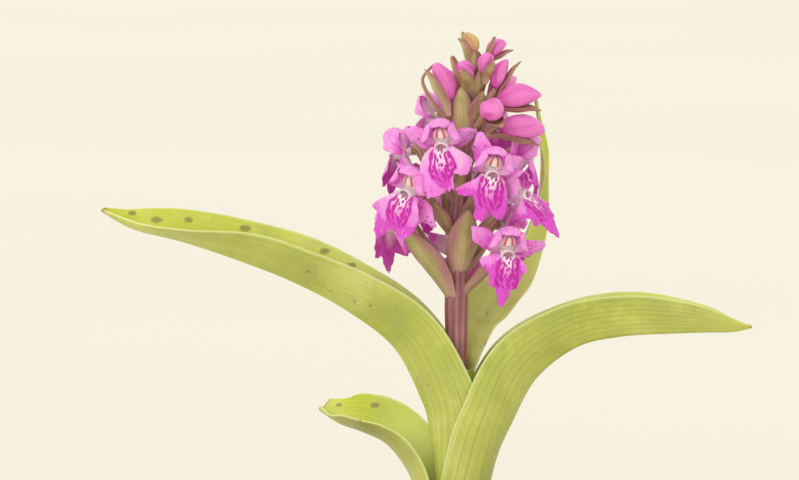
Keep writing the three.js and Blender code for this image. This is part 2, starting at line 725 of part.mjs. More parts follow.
const stemParts = [rodShape({ path: RACHIS, sides: 10, steps: RACHIS_STEPS })];
for (const bloom of Object.values(BLOOMS)) {
  const place = bloomPlace(bloom);
  const base = vector(THROAT[0]).applyMatrix4(place);
  const behind = new THREE.Vector3(0, 1, 0).transformDirection(place);
  const path = ovaryPath(base, behind, 13, 1.35, 2.4);
  stemParts.push(rodShape({ path, sides: 5, steps: 3 }));
}
for (const bud of Object.values(BUDS)) {
  const { out, point } = budPath(bud);
  const base = point(-0.5);
  const path = ovaryPath(base, out.clone().negate(), 5.5, 0.85, 1.6);
  stemParts.push(rodShape({ path, sides: 5, steps: 3 }));
}
for (const bract of BRACTS) stemParts.push(bractShape(bract));
const stem = joined(stemParts.map(solid));

const clay = finish(0xb5643f, 0.85);
const earth = finish(0x3c2a20, 0.95);
const root = finish(0xd8cba6, 0.8);
const stalk = finish(0x96605f, 0.6);
const leafGreen = finish(0xaebd4c, 0.5);
const petalPink = finish(0xd65fc6, 0.55);
const budPink = finish(0xd052ba, 0.5);

const group = new THREE.Group();
group.name = "potted_marsh_orchid";
group.add(meshOf("pot", pot, clay));
group.add(meshOf("soil", soil, earth));
group.add(meshOf("tubers", tubers, root));
group.add(meshOf("stem", stem, stalk));
for (const [name, leaf] of Object.entries(LEAVES)) {
  group.add(meshOf(name, solid(leafShape(leaf)), leafGreen));
}
for (const [name, bloom] of Object.entries(BLOOMS)) {
  const place = bloomPlace(bloom);
  const shapes = bloomShapes(bloom).map((shape) => solid(shape.applyMatrix4(place)));
  group.add(meshOf(name, joined(shapes), petalPink));
}
for (const [name, bud] of Object.entries(BUDS)) {
  group.add(meshOf(name, solid(budShape(bud)), budPink));
}

export default group;
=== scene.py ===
import math

import bpy
from mathutils import Matrix, Quaternion, Vector


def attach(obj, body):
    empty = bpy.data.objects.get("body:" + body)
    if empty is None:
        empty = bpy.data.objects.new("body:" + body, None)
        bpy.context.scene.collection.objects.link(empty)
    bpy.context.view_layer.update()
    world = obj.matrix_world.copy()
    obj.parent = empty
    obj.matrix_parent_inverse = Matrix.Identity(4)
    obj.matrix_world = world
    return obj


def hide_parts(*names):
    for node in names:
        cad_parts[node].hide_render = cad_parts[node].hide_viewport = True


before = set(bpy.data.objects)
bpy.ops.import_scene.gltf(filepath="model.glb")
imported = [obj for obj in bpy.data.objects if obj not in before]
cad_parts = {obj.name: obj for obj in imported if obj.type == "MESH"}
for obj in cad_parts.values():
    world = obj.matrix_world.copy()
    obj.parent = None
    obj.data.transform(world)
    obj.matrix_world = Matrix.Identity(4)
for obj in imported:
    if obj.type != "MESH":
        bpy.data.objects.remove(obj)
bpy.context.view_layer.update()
print("nodes:", len(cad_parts))

# %% [markdown]
# ## Words for colours and nodes
# A colour is easiest to judge as the hex number that a screen shows. Cycles works with light, which
# is linear, so one function turns the one into the other. Another adds a node with its settings and
# its links, and serves for materials and for Geometry Nodes alike. Short words for the nodes that
# come again and again keep the finishes readable.
# %% Colour and node helpers
MM = 0.001


def linear(colour):
    """A screen colour such as #c86040 as linear red, green, blue and alpha."""
    shares = [int(colour[i : i + 2], 16) / 255 for i in (1, 3, 5)]
    return [c / 12.92 if c <= 0.04045 else ((c + 0.055) / 1.055) ** 2.4 for c in shares] + [1.0]


def add(tree, kind, inputs=None, stops=None, **settings):
    """Adds a node. Each input is given a value, a socket, or a node whose first output it takes."""
    made = tree.nodes.new(kind)
    for name, value in settings.items():
        setattr(made, name, value)
    for name, value in (inputs or {}).items():
        socket = made.inputs[name]
        if isinstance(value, bpy.types.Node):
            value = next(out for out in value.outputs if out.enabled)
        if isinstance(value, bpy.types.NodeSocket):
            tree.links.new(value, socket)
        elif isinstance(value, str) and value.startswith("#"):
            socket.default_value = linear(value)
        else:
            socket.default_value = value
    if stops:
        ramp = made.color_ramp
        while len(ramp.elements) < len(stops):
            ramp.elements.new(1.0)
        for element, (place, colour) in zip(ramp.elements, stops):
            element.position = place
            element.color = linear(colour)
    return made


MATH = "ShaderNodeMath"
MIX = "ShaderNodeMix"
VECTOR = "ShaderNodeVectorMath"
VORONOI = "ShaderNodeTexVoronoi"
NOISE = "ShaderNodeTexNoise"
RAMP = "ShaderNodeValToRGB"
RANGE = "ShaderNodeMapRange"
SPLIT = "ShaderNodeSeparateXYZ"


def new_material(name):
    """An empty material, its Principled shader and the object's own coordinates."""
    material = bpy.data.materials.new(name)
    material.use_nodes = True
    tree = material.node_tree
    shader = tree.nodes["Principled BSDF"]
    spot = add(tree, "ShaderNodeTexCoord").outputs["Object"]
    return material, tree, shader, spot


# %% Short words for the nodes that finishes are made of
def maths(tree, operation, *values):
    """One operation on one to three numbers."""
    return add(tree, MATH, dict(enumerate(values)), operation=operation)


def noise(tree, at, scale, detail=2.0, rough=0.5):
    """Clouds of noise at a place. The scale says how many fit in one unit of it."""
    return add(tree, NOISE, {"Vector": at, "Scale": scale, "Detail": detail, "Roughness": rough})


def fade(tree, value, start, end, top=1.0, low=0.0):
    """Low where the value is at start, top where it is at end, and level beyond both."""
    ends = {"From Min": start, "From Max": end, "To Min": low, "To Max": top}
    return add(tree, RANGE, {"Value": value, **ends})


def mix(tree, share, first, second):
    """The first colour where the share is 0, the second where it is 1."""
    return add(tree, MIX, {0: share, 6: first, 7: second}, data_type="RGBA").outputs[2]


def read(tree, name, output="Fac"):
    """What an attribute of the mesh says at each point."""
    return add(tree, "ShaderNodeAttribute", attribute_name=name).outputs[output]


def dress(tree, shader, colour, relief, rough, glow=0.0, reach=None):
    """Gives a shader its colour and skin. Relief is a height, its strength and its depth in metres.

    Rough is a number, or a value and the roughness at its two ends. Glow is the share of light that
    goes in and comes out again near by, as far off as reach says for red, green and blue.
    """
    tree.links.new(colour, shader.inputs["Base Color"])
    names = ("Height", "Strength", "Distance")
    bump = add(tree, "ShaderNodeBump", dict(zip(names, relief)))
    tree.links.new(bump.outputs[0], shader.inputs["Normal"])
    if isinstance(rough, tuple):
        value, low, top = rough
        tree.links.new(fade(tree, value, 0.0, 1.0, top, low).outputs[0], shader.inputs["Roughness"])
    else:
        shader.inputs["Roughness"].default_value = rough
    if glow:
        shader.inputs["Subsurface Weight"].default_value = glow
        shader.inputs["Subsurface Radius"].default_value = reach


# %% [markdown]
# ## Curves through stations
# A leaf, a petal or a stalk is told by a few stations along its middle rib: where it is, how wide,
# how cupped. A Catmull-Rom curve passes through all of them, so the fine mesh keeps the place and
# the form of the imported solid, which has the same stations.
# %% Curves and the pointed blade
UP = Vector((0, 0, 1))


def along(stations, t):
    """The numbers of a station at share t of the way along the list."""
    last = len(stations) - 1
    i = min(int(t * last), last - 1)
    f = t * last - i
    p1, p2 = stations[i], stations[i + 1]
    p0 = stations[i - 1] if i > 0 else [2 * a - b for a, b in zip(p1, p2)]
    p3 = stations[i + 2] if i + 2 <= last else [2 * b - a for a, b in zip(p1, p2)]
    return [
        b + 0.5 * f * (c - a + f * (2 * a - 5 * b + 4 * c - d + f * (3 * (b - c) + d - a)))
        for a, b, c, d in zip(p0, p1, p2, p3)
    ]


def heading(stations, t):
    """The direction of the curve at share t."""
    before = Vector(along(stations, max(t - 0.01, 0))[:3])
    return (Vector(along(stations, min(t + 0.01, 1))[:3]) - before).normalized()


def bearing(degrees):
    """A level direction: 0 faces the viewer, 90 faces +X."""
    return Vector((math.sin(math.radians(degrees)), -math.cos(math.radians(degrees)), 0))


def chance(n):
    """A repeatable number from 0 to 1 for each whole number."""
    s = math.sin(n * 127.1 + 311.7) * 43758.5453
    return s - math.floor(s)


def sheet(inner, outer, places):
    """Closes two faces of a sheet round the rim. A last row of one point is a tip."""
    columns = len(inner[0]) - 1
    pointed = len(inner[-1]) == 1
    rows = len(inner) - 2 if pointed else len(inner) - 1
    points = [p for row in outer for p in row] + [p for row in inner for p in row]
    flat = [p for row in places for p in row]
    under = len(flat)
    faces = []
    for r in range(rows):
        for c in range(columns):
            a = r * (columns + 1) + c
            b, d, e = a + 1, a + columns + 2, a + columns + 1
            faces.append((a, b, d, e))
            faces.append((a + under, e + under, d + under, b + under))
        a, e = r * (columns + 1), (r + 1) * (columns + 1)
        faces.append((a + under, a, e, e + under))
        a, e = a + columns, e + columns
        faces.append((a, a + under, e + under, e))
    for c in range(columns):
        faces.append((c + under, c + 1 + under, c + 1, c))
        a = rows * (columns + 1) + c
        if not pointed:
            faces.append((a, a + 1, a + 1 + under, a + under))
    if pointed:
        tip = (rows + 1) * (columns + 1)
        for c in range(columns):
            a = rows * (columns + 1) + c
            faces.append((a, a + 1, tip))
            faces.append((a + under, tip + under, a + 1 + under))
        a = rows * (columns + 1)
        faces.append((a + under, a, tip, tip + under))
        a += columns
        faces.append((a, a + under, tip + under, tip))
    return {
        "points": points,
        "faces": faces,
        "place": flat + flat,
        "under": [1.0] * under + [0.0] * under,
    }


def blade(rib, side, thick, columns, rows, relief=None, widen=None):
    """A thin pointed blade. Relief is a lift off the face, and widen a share of the half width."""
    inner, outer, places = [], [], []
    side = Vector(side)
    for r in range(rows + 1):
        t = r / rows
        x, y, z, half, cup, fold, roll, level = (along(rib, t) + [0])[:8]
        forward = heading(rib, t).lerp(UP, level).normalized()
        across = (side - forward * side.dot(forward)).normalized()
        across.rotate(Quaternion(forward, math.radians(roll)))
        inward = forward.cross(across)
        centre = Vector((x, y, z))
        if r == rows:
            inner.append([centre + inward * thick * 0.3])
            outer.append([centre - inward * thick * 0.3])
            places.append([(0, 1, 0)])
            break
        crease = math.radians(fold)
        bend = max(math.radians(cup), 0.001) / max(half, 0.05)
        rows_here = ([], [], [])
        for c in range(columns + 1):
            u = 2 * c / columns - 1
            reach = max(half, 0.05) * abs(u) * (widen(u, t) if widen else 1)
            sign = (u > 0) - (u < 0)
            turn = (crease + bend * reach) if sign else 0
            out = sign * (math.sin(turn) - math.sin(crease)) / bend if sign else 0
            up = (math.cos(crease) - math.cos(turn)) / bend if sign else 0
            normal = inward * math.cos(turn) - across * sign * math.sin(turn)
            point = centre + across * out + inward * up
            if relief:
                point += normal * relief(u, t)
            wall = thick * (1 - 0.55 * abs(u) ** 6) / 2
            rows_here[0].append(point + normal * wall)
            rows_here[1].append(point - normal * wall)
            rows_here[2].append((u, t, 0))
        inner.append(rows_here[0])
        outer.append(rows_here[1])
        places.append(rows_here[2])
    return sheet(inner, outer, places)


print("a station half way up a slope:", along([[0, 0], [1, 2], [2, 4]], 0.5))

# %% [markdown]
# ## From parts to a piece
# A flower has a lip, a hood and a throat with finishes of their own, yet it is one thing on the
# plant. So parts are joined into one mesh, and each keeps its material. Where a point lies on its
# petal goes into an attribute called place, which the finishes read: a vein then follows the
# petal, whichever way the flower is turned.
# %% Joining parts, and showing a piece
SHARP_DEGREES = 62


def new_object(name, data):
    """An object in the scene, unturned and at the origin."""
    made = bpy.data.objects.new(name, data)
    bpy.context.scene.collection.objects.link(made)
    return made


def store(mesh, name, values):
    """Keeps one number for each point, for finishes and trees to read."""
    mesh.attributes.new(name, "FLOAT", "POINT").data.foreach_set("value", values)


def join_parts(name, parts):
    """One object from parts in millimetres. A part may carry a matrix and its own material."""
    points, faces, index, place, under, kind = [], [], [], [], [], []
    materials = []
    for part in parts:
        start = len(points)
        matrix = part.get("matrix")
        points += [tuple((matrix @ p if matrix else p) * MM) for p in part["points"]]
        if part["material"] not in materials:
            materials.append(part["material"])
        faces += [tuple(v + start for v in face) for face in part["faces"]]
        index += [materials.index(part["material"])] * len(part["faces"])
        place += part["place"]
        under += part["under"]
        kind += [part.get("kind", 0.0)] * len(part["points"])
    mesh = bpy.data.meshes.new(name)
    mesh.from_pydata(points, [], faces)
    for material in materials:
        mesh.materials.append(material)
    mesh.polygons.foreach_set("material_index", index)
    spots = mesh.attributes.new("place", "FLOAT_VECTOR", "POINT")
    spots.data.foreach_set("vector", [c for p in place for c in p])
    store(mesh, "under", under)
    store(mesh, "kind", kind)
    mesh.shade_smooth()
    mesh.set_sharp_from_angle(angle=math.radians(SHARP_DEGREES))
    mesh.update()
    return new_object(name, mesh)


def show(piece, slot, *nodes):
    """Lets a finished piece stand for its nodes, and says how fine it is."""
    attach(piece, "root")
    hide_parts(*nodes)
    triangles = sum(len(face.vertices) - 2 for face in piece.data.polygons)
    print(f"{piece.name}: {triangles} triangles")


# %% [markdown]
# ## Pieces that a rule makes
# A turned pot, a scatter of crumbs and a ribbed stalk each follow a rule, so Geometry Nodes make
# them. The tree runs on a simple mesh that holds the outline or the path. Its result is then made a
# plain mesh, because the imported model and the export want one.
# %% Running a node tree to a plain mesh
GEOMETRY = "NodeSocketGeometry"
FLOAT = "NodeSocketFloat"
INT = "NodeSocketInt"


def new_tree(name, **sizes):
    """A geometry tree with a geometry in and out, and one named input for each size."""
    tree = bpy.data.node_groups.new(name, "GeometryNodeTree")
    tree.interface.new_socket("Geometry", in_out="INPUT", socket_type=GEOMETRY)
    for label, kind in sizes.items():
        tree.interface.new_socket(label.replace("_", " "), in_out="INPUT", socket_type=kind)
    tree.interface.new_socket("Geometry", in_out="OUTPUT", socket_type=GEOMETRY)
    return tree, tree.nodes.new("NodeGroupInput").outputs


def end_tree(tree, geometry, material):
    """Ends a tree as every one here ends: real faces, smooth, with their material."""
    real = add(tree, "GeometryNodeRealizeInstances", {"Geometry": geometry})
    smooth = add(tree, "GeometryNodeSetShadeSmooth", {"Geometry": real})
    worn = add(tree, "GeometryNodeSetMaterial", {"Geometry": smooth, "Material": material})
    add(tree, "NodeGroupOutput", {"Geometry": worn})


def run_tree(name, mesh, tree, **sizes):
    """Runs the tree on the mesh and returns the result as an object with a plain mesh."""
    base = new_object(name + "_base", mesh)
    modifier = base.modifiers.new("rule", "NODES")
    modifier.node_group = tree
    for item in tree.interface.items_tree:
        label = item.name.replace(" ", "_")
        if item.in_out == "INPUT" and label in sizes:
            modifier[item.identifier] = sizes[label]
    ready = base.evaluated_get(bpy.context.evaluated_depsgraph_get())
    made_mesh = bpy.data.meshes.new_from_object(ready)
    base.modifiers.remove(modifier)
    bpy.data.objects.remove(base)
    made_mesh.name = name
    return new_object(name, made_mesh)


def line_mesh(name, lines):
    """Open lines for a tree. Each point is (x, y, z, girth, twist), in millimetres and radians."""
    mesh = bpy.data.meshes.new(name)
    points, edges, share = [], [], []
    for line in lines:
        start = len(points)
        points += line
        edges += [(start + k, start + k + 1) for k in range(len(line) - 1)]
        share += [k / (len(line) - 1) for k in range(len(line))]
    mesh.from_pydata([tuple(c * MM for c in p[:3]) for p in points], edges, [])
    store(mesh, "girth", [p[3] * MM for p in points])
    store(mesh, "twist", [p[4] for p in points])
    store(mesh, "share", share)
    return mesh


# %% [markdown]
# ## Fired clay
# The pot is terracotta: red earthenware, pressed or thrown, then fired without a glaze. That leaves
# a dry, matt face with faint rings from the turning. Water draws salts through the wall, which dry
# as a pale bloom, most of all low down and under the rim.
# %% Terracotta
CLAY = "#b9683f"
CLAY_DARK = "#9c5231"
CLAY_SALTS = "#d9b496"
CLAY_RING_MM = 1.7
CLAY_GRAIN_MM = 0.5


def make_terracotta():
    material, tree, shader, spot = new_material("terracotta_unglazed")
    cloud = noise(tree, spot, 38.0, 5.0, 0.6)
    grain = noise(tree, spot, 0.6 / (CLAY_GRAIN_MM * MM), 3.0)
    height = add(tree, SPLIT, {"Vector": spot}).outputs["Z"]
    body = add(tree, RAMP, {"Fac": cloud}, stops=[(0.35, CLAY_DARK), (0.62, CLAY)])
    low = fade(tree, height, 0.045, 0.0)
    salts = maths(tree, "MULTIPLY", cloud, low)
    salts = fade(tree, salts, 0.22, 0.75)
    pale = mix(tree, salts, body, CLAY_SALTS)
    speck = fade(tree, grain, 0.38, 0.3, 0.5)
    colour = mix(tree, speck, pale, CLAY_DARK)
    turn = maths(tree, "MULTIPLY", height, 2 * math.pi / (CLAY_RING_MM * MM))
    sway = maths(tree, "MULTIPLY_ADD", cloud, 9.0, turn)
    ring = maths(tree, "SINE", sway)
    face = maths(tree, "MULTIPLY_ADD", ring, 0.12, grain)
    dress(tree, shader, colour, (face, 0.35, 0.0003), (cloud, 0.78, 0.95))
    return material


terracotta = make_terracotta()

# %% [markdown]
# ## The pot
# A pot is one outline turned about its middle. The tree lays a flat grid round the axis: one way
# along the grid samples the outline, the other is the angle. Three drain holes are then cut
# through the floor with a Boolean.
# %% Outline of the pot
POT_OUTLINE = [
    (0, 0), (35, 0), (37, 1.5), (49, 74), (52.5, 75), (54, 77), (55, 90), (53.5, 92),
    (51, 92), (49.5, 90), (45, 74), (32, 6), (0, 6),
]
POT_CORNER_MM = 1.1
DRAINS = 3
DRAIN_MM = 4.0
DRAIN_CIRCLE_MM = 19.0
# In metres: how deep the drill goes, and how near two points are that become one
DRAIN_DEPTH = 0.03
WELD = 0.00002
DRAIN_SIDES = 40
POT_SHARP_DEGREES = 45


def rounded(outline, radius, steps):
    """The outline with each corner eased, as fired clay is never sharp."""
    made = [outline[0]]
    for before, corner, after in zip(outline, outline[1:], outline[2:]):
        a, b, c = (Vector((p[0], 0, p[1])) for p in (before, corner, after))
        cut = min(radius, (a - b).length / 2.2, (c - b).length / 2.2)
        start, end = b + (a - b).normalized() * cut, b + (c - b).normalized() * cut
        for k in range(steps + 1):
            t = k / steps
            p = start * (1 - t) ** 2 + b * 2 * t * (1 - t) + end * t**2
            made.append((p.x, p.z))
    return made + [outline[-1]]


# %% The turned pot
def make_turning_tree(material):
    tree, given = new_tree("turned pot", Sides=INT, Samples=INT, Drain=FLOAT, Circle=FLOAT)
    outline = add(tree, "GeometryNodeMeshToCurve", {"Mesh": given["Geometry"]})
    columns = maths(tree, "ADD", given["Sides"], 1.0)
    grid = add(
        tree,
        "GeometryNodeMeshGrid",
        {"Size X": 1.0, "Size Y": 1.0, "Vertices X": given["Samples"], "Vertices Y": columns},
    )
    flat = add(tree, SPLIT, {0: add(tree, "GeometryNodeInputPosition")})
    share = add(tree, MATH, {0: flat.outputs["X"], 1: 0.5}, operation="ADD", use_clamp=True)
    angle = maths(tree, "MULTIPLY", flat.outputs["Y"], -2 * math.pi)
    taken = add(
        tree, "GeometryNodeSampleCurve", {"Curves": outline, "Factor": share}, mode="FACTOR"
    )
    turned = add(
        tree,
        "ShaderNodeVectorRotate",
        {"Vector": taken.outputs["Position"], "Angle": angle},
        rotation_type="Z_AXIS",
    )
    placed = add(tree, "GeometryNodeSetPosition", {"Geometry": grid, "Position": turned})
    closed = add(tree, "GeometryNodeMergeByDistance", {"Geometry": placed, "Distance": WELD})
    hole = add(
        tree,
        "GeometryNodeMeshCylinder",
        {"Vertices": DRAIN_SIDES, "Radius": given["Drain"], "Depth": DRAIN_DEPTH},
    )
    ring = add(tree, "GeometryNodeMeshCircle", {"Vertices": DRAINS, "Radius": given["Circle"]})
    holes = add(
        tree, "GeometryNodeInstanceOnPoints", {"Points": ring, "Instance": hole.outputs["Mesh"]}
    )
    real = add(tree, "GeometryNodeRealizeInstances", {"Geometry": holes})
    cut = add(
        tree, "GeometryNodeMeshBoolean", {"Mesh 1": closed, "Mesh 2": real}, operation="DIFFERENCE"
    )
    end_tree(tree, cut, material)
    return tree


pot_outline = rounded(POT_OUTLINE, POT_CORNER_MM, 5)
pot = run_tree(
    "clay_pot",
    line_mesh("pot_line", [[(r, 0, z, 0, 0) for r, z in pot_outline]]),
    make_turning_tree(terracotta),
    Sides=120,
    Samples=260,
    Drain=DRAIN_MM * MM,
    Circle=DRAIN_CIRCLE_MM * MM,
)
pot.data.set_sharp_from_angle(angle=math.radians(POT_SHARP_DEGREES))
show(pot, "terracotta", "pot")

# %% [markdown]
# ## Potting soil
# Soil is crumb on crumb: peat and leaf mould, damp and almost black in the gaps, with paler bits of
# fibre. The mass is a dished disc with a pit for the stem. Thousands of small lumps with twenty
# faces each are scattered over its top, which costs little and breaks the light as soil does.
# %% Damp soil
SOIL_TOP_MM = 80.0
SOIL_DISH_MM = 1.2
SOIL_EDGE_MM = 46.4
SOIL_ROUGH_MM = 0.6
SOIL_RING_MM = 0.62
SOIL_RINGS = 67
SOIL_SIDES = 180
# Crumbs lie above this height, in metres, and where the ground is this level
CRUMB_HEIGHT = 0.0776
CRUMB_LEVEL = 0.25


def make_soil():
    material, tree, shader, spot = new_material("potting_soil_damp")
    lump = add(tree, VORONOI, {"Vector": spot, "Scale": 420.0})
    cloud = noise(tree, spot, 60.0, 4.0)
    tone = add(tree, SPLIT, {0: lump.outputs["Color"]})
    mixed = maths(tree, "MULTIPLY_ADD", tone, 0.6, cloud)
    stops = [(0.3, "#2b1c13"), (0.62, "#46301f"), (0.86, "#5d4330"), (1.0, "#8a6f52")]
    colour = add(tree, RAMP, {"Fac": mixed}, stops=stops)
    grain = noise(tree, spot, 1900.0, 3.0)
    dress(tree, shader, colour.outputs[0], (grain, 0.6, 0.0003), (cloud, 0.7, 1.0))
    return material


soil_finish = make_soil()


# %% The mass of soil
def soil_mesh():
    """A turned body: up the pot's wall, over the top, and down the pit round the stem."""
    wall = [(0, 6.4), (31.4, 6.4), (43.9, 74), (45.1, 78), (45.9, 79.4)]
    top = [(45.9 - SOIL_RING_MM * k, None) for k in range(1, SOIL_RINGS + 1)]
    pit = [(3.6, 78.2), (3.4, 64), (2.7, 46), (0, 45)]
    rings, points, faces = wall + top + pit, [], []
    sides = SOIL_SIDES
    for k, (radius, z) in enumerate(rings):
        for j in range(1 if radius == 0 else sides):
            angle = 2 * math.pi * j / sides
            x, y = radius * math.cos(angle), radius * math.sin(angle)
            here = z
            if here is None:
                wave = 0.5 * math.sin(x * 0.31 + 1.3) * math.cos(y * 0.27)
                rough = wave + chance(k * sides + j) * 0.5
                dished = SOIL_TOP_MM - SOIL_DISH_MM * (1 - radius / SOIL_EDGE_MM)
                here = dished - SOIL_ROUGH_MM + rough * SOIL_ROUGH_MM
            points.append((x * MM, y * MM, here * MM))
    at = [0]
    for radius, _ in rings:
        at.append(at[-1] + (1 if radius == 0 else sides))
    for k in range(len(rings) - 1):
        for j in range(sides):
            j2 = (j + 1) % sides
            a, b = (at[k] + j, at[k] + j2) if rings[k][0] else (at[k], at[k])
            d, c = (at[k + 1] + j, at[k + 1] + j2) if rings[k + 1][0] else (at[k + 1], at[k + 1])
            faces.append(tuple(dict.fromkeys((a, b, c, d))))
    mesh = bpy.data.meshes.new("soil_mass")
    mesh.from_pydata(points, [], faces)
    return mesh


# %% Crumbs scattered over the top
def make_crumb_tree(material):
    tree, given = new_tree(
        "crumbs", Crumbs=FLOAT, Smallest=FLOAT, Largest=FLOAT, Chips=FLOAT, Seed=INT
    )
    ground, seed = given["Geometry"], given["Seed"]
    place = add(tree, SPLIT, {0: add(tree, "GeometryNodeInputPosition")})
    slope = add(tree, SPLIT, {0: add(tree, "GeometryNodeInputNormal")})
    high = maths(tree, "GREATER_THAN", place.outputs["Z"], CRUMB_HEIGHT)
    level = maths(tree, "GREATER_THAN", slope.outputs["Z"], CRUMB_LEVEL)
    top = maths(tree, "MULTIPLY", high, level)
    made = [ground]
    for amount, stretch in (("Crumbs", (0.9, 1.1, 0.75)), ("Chips", (2.6, 0.9, 0.32))):
        points = add(
            tree,
            "GeometryNodeDistributePointsOnFaces",
            {"Mesh": ground, "Selection": top, "Density": given[amount], "Seed": seed},
        )
        lump = add(tree, "GeometryNodeMeshIcoSphere", {"Radius": 1.0, "Subdivisions": 1})
        size = add(
            tree,
            "FunctionNodeRandomValue",
            {2: given["Smallest"], 3: given["Largest"], "Seed": seed},
            data_type="FLOAT",
        )
        scale = add(tree, VECTOR, {0: stretch, "Scale": size}, operation="SCALE")
        spin = add(
            tree,
            "FunctionNodeRandomValue",
            {0: (-0.9, -0.9, 0.0), 1: (0.9, 0.9, 6.28), "Seed": seed},
            data_type="FLOAT_VECTOR",
        )
        lumps = add(
            tree,
            "GeometryNodeInstanceOnPoints",
            {"Points": points, "Instance": lump, "Rotation": spin, "Scale": scale},
        )
        made.append(lumps)
    joined = tree.nodes.new("GeometryNodeJoinGeometry")
    for part in made:
        out = part if isinstance(part, bpy.types.NodeSocket) else part.outputs[0]
        tree.links.new(out, joined.inputs[0])
    end_tree(tree, joined, material)
    return tree


soil = run_tree(
    "soil_and_crumbs",
    soil_mesh(),
    make_crumb_tree(soil_finish),
    Crumbs=620000.0,
    Smallest=0.00035,
    Largest=0.00115,
    Chips=26000.0,
    Seed=7,
)
show(soil, "potting_soil", "soil")

# %% [markdown]
# ## Ribbed stalks
# The stem is ribbed, each ovary is a ribbed rod that has twisted half a turn as its flower opened,
# and the tubers are plain tapering fingers. All three are a round section drawn along a path, so
# one tree makes them: the section's ribs, their depth and its sides are its inputs, and the path
# carries its own girth and twist.
# %% The stalk tree
def make_stalk_tree(material):
    tree, given = new_tree("ribbed stalk", Sides=INT, Ribs=INT, Depth=FLOAT)
    path = add(tree, "GeometryNodeMeshToCurve", {"Mesh": given["Geometry"]})
    girth = add(tree, "GeometryNodeInputNamedAttribute", {"Name": "girth"}, data_type="FLOAT")
    twist = add(tree, "GeometryNodeInputNamedAttribute", {"Name": "twist"}, data_type="FLOAT")
    tilted = add(tree, "GeometryNodeSetCurveTilt", {"Curve": path, "Tilt": twist})
    ring = add(
        tree, "GeometryNodeCurvePrimitiveCircle", {"Resolution": given["Sides"], "Radius": 1.0}
    )
    number = add(tree, "GeometryNodeInputIndex")
    turn = maths(tree, "DIVIDE", number, given["Sides"])
    wave = maths(tree, "MULTIPLY", turn, given["Ribs"])
    wave = maths(tree, "MULTIPLY", wave, 2 * math.pi)
    wave = maths(tree, "MULTIPLY_ADD", maths(tree, "COSINE", wave), 0.5, -0.5)
    depth = maths(tree, "MULTIPLY_ADD", wave, given["Depth"], 1.0)
    where = add(tree, "GeometryNodeInputPosition")
    ribbed = add(tree, VECTOR, {0: where, "Scale": depth}, operation="SCALE")
    section = add(tree, "GeometryNodeSetPosition", {"Geometry": ring, "Position": ribbed})
    marked = add(
        tree,
        "GeometryNodeStoreNamedAttribute",
        {"Geometry": section, "Name": "ridge", "Value": wave},
        data_type="FLOAT",
        domain="POINT",
    )
    drawn = add(
        tree,
        "GeometryNodeCurveToMesh",
        {"Curve": tilted, "Profile Curve": marked, "Scale": girth, "Fill Caps": True},
    )
    end_tree(tree, drawn, material)
    return tree


# %% [markdown]
# ## Stem tissue
# A living stem is waxy and half matt. This one is flushed with purple by the same pigment as the
# flowers, browner in the grooves, and greener where the leaves have kept the sun off it.
# %% Flushed stem
def make_stalk(name, grooves, ridges, lower):
    material, tree, shader, spot = new_material(name)
    ridge = read(tree, "ridge")
    share = read(tree, "share")
    cloud = noise(tree, spot, 210.0, 4.0)
    mixed = maths(tree, "MULTIPLY_ADD", ridge, 0.55, cloud)
    up = fade(tree, mixed, 0.0, 0.7)
    body = mix(tree, up, grooves, ridges)
    green = fade(tree, share, 0.5, 0.34)
    colour = mix(tree, green, body, lower)
    cells = noise(tree, spot, 1500.0, 2.0)
    dress(tree, shader, colour, (cells, 0.12, 0.0002), 0.5, 0.2, (0.0012, 0.0006, 0.0005))
    return material


stem_finish = make_stalk("stem_flushed_purple", "#94595f", "#b48886", "#9aa65a")
ovary_finish = make_stalk("ovary_twisted", "#a2726c", "#c6af84", "#ad8a76")

# %% Where the stem runs
STEM_FOOT = 48
RACHIS = [
    [0, 0, 48, 2.2], [0, 0, 64, 2.9], [0, 0, 80, 2.9], [0, 0, 96, 2.9], [0, 0, 112, 2.9],
    [-0.1, -0.1, 128, 2.75], [-0.3, -0.2, 144, 2.6], [-0.4, 0, 160, 3.0], [0, 0, 176, 2.5],
    [1.2, 0, 192, 2.2], [2.6, 0, 208, 1.7], [5.2, 0.6, 221.4, 0.9],
]


def rachis_at(z):
    """The stem's middle and radius at a height."""
    low, high = 0.0, 1.0
    for _ in range(24):
        middle = (low + high) / 2
        low, high = (middle, high) if along(RACHIS, middle)[2] < z else (low, middle)
    return along(RACHIS, low)


def fine_line(stations, steps, turn=0.0):
    """The stations as a line for the stalk tree, twisting by turn radians on its way."""
    return [tuple(along(stations, k / steps)[:4]) + (turn * k / steps,) for k in range(steps + 1)]


stem = run_tree(
    "flower_stem",
    line_mesh("stem_line", [fine_line(RACHIS, 220, 0.9)]),
    make_stalk_tree(stem_finish),
    Sides=72,
    Ribs=9,
    Depth=0.09,
)
show(stem, "stalk", "stem")

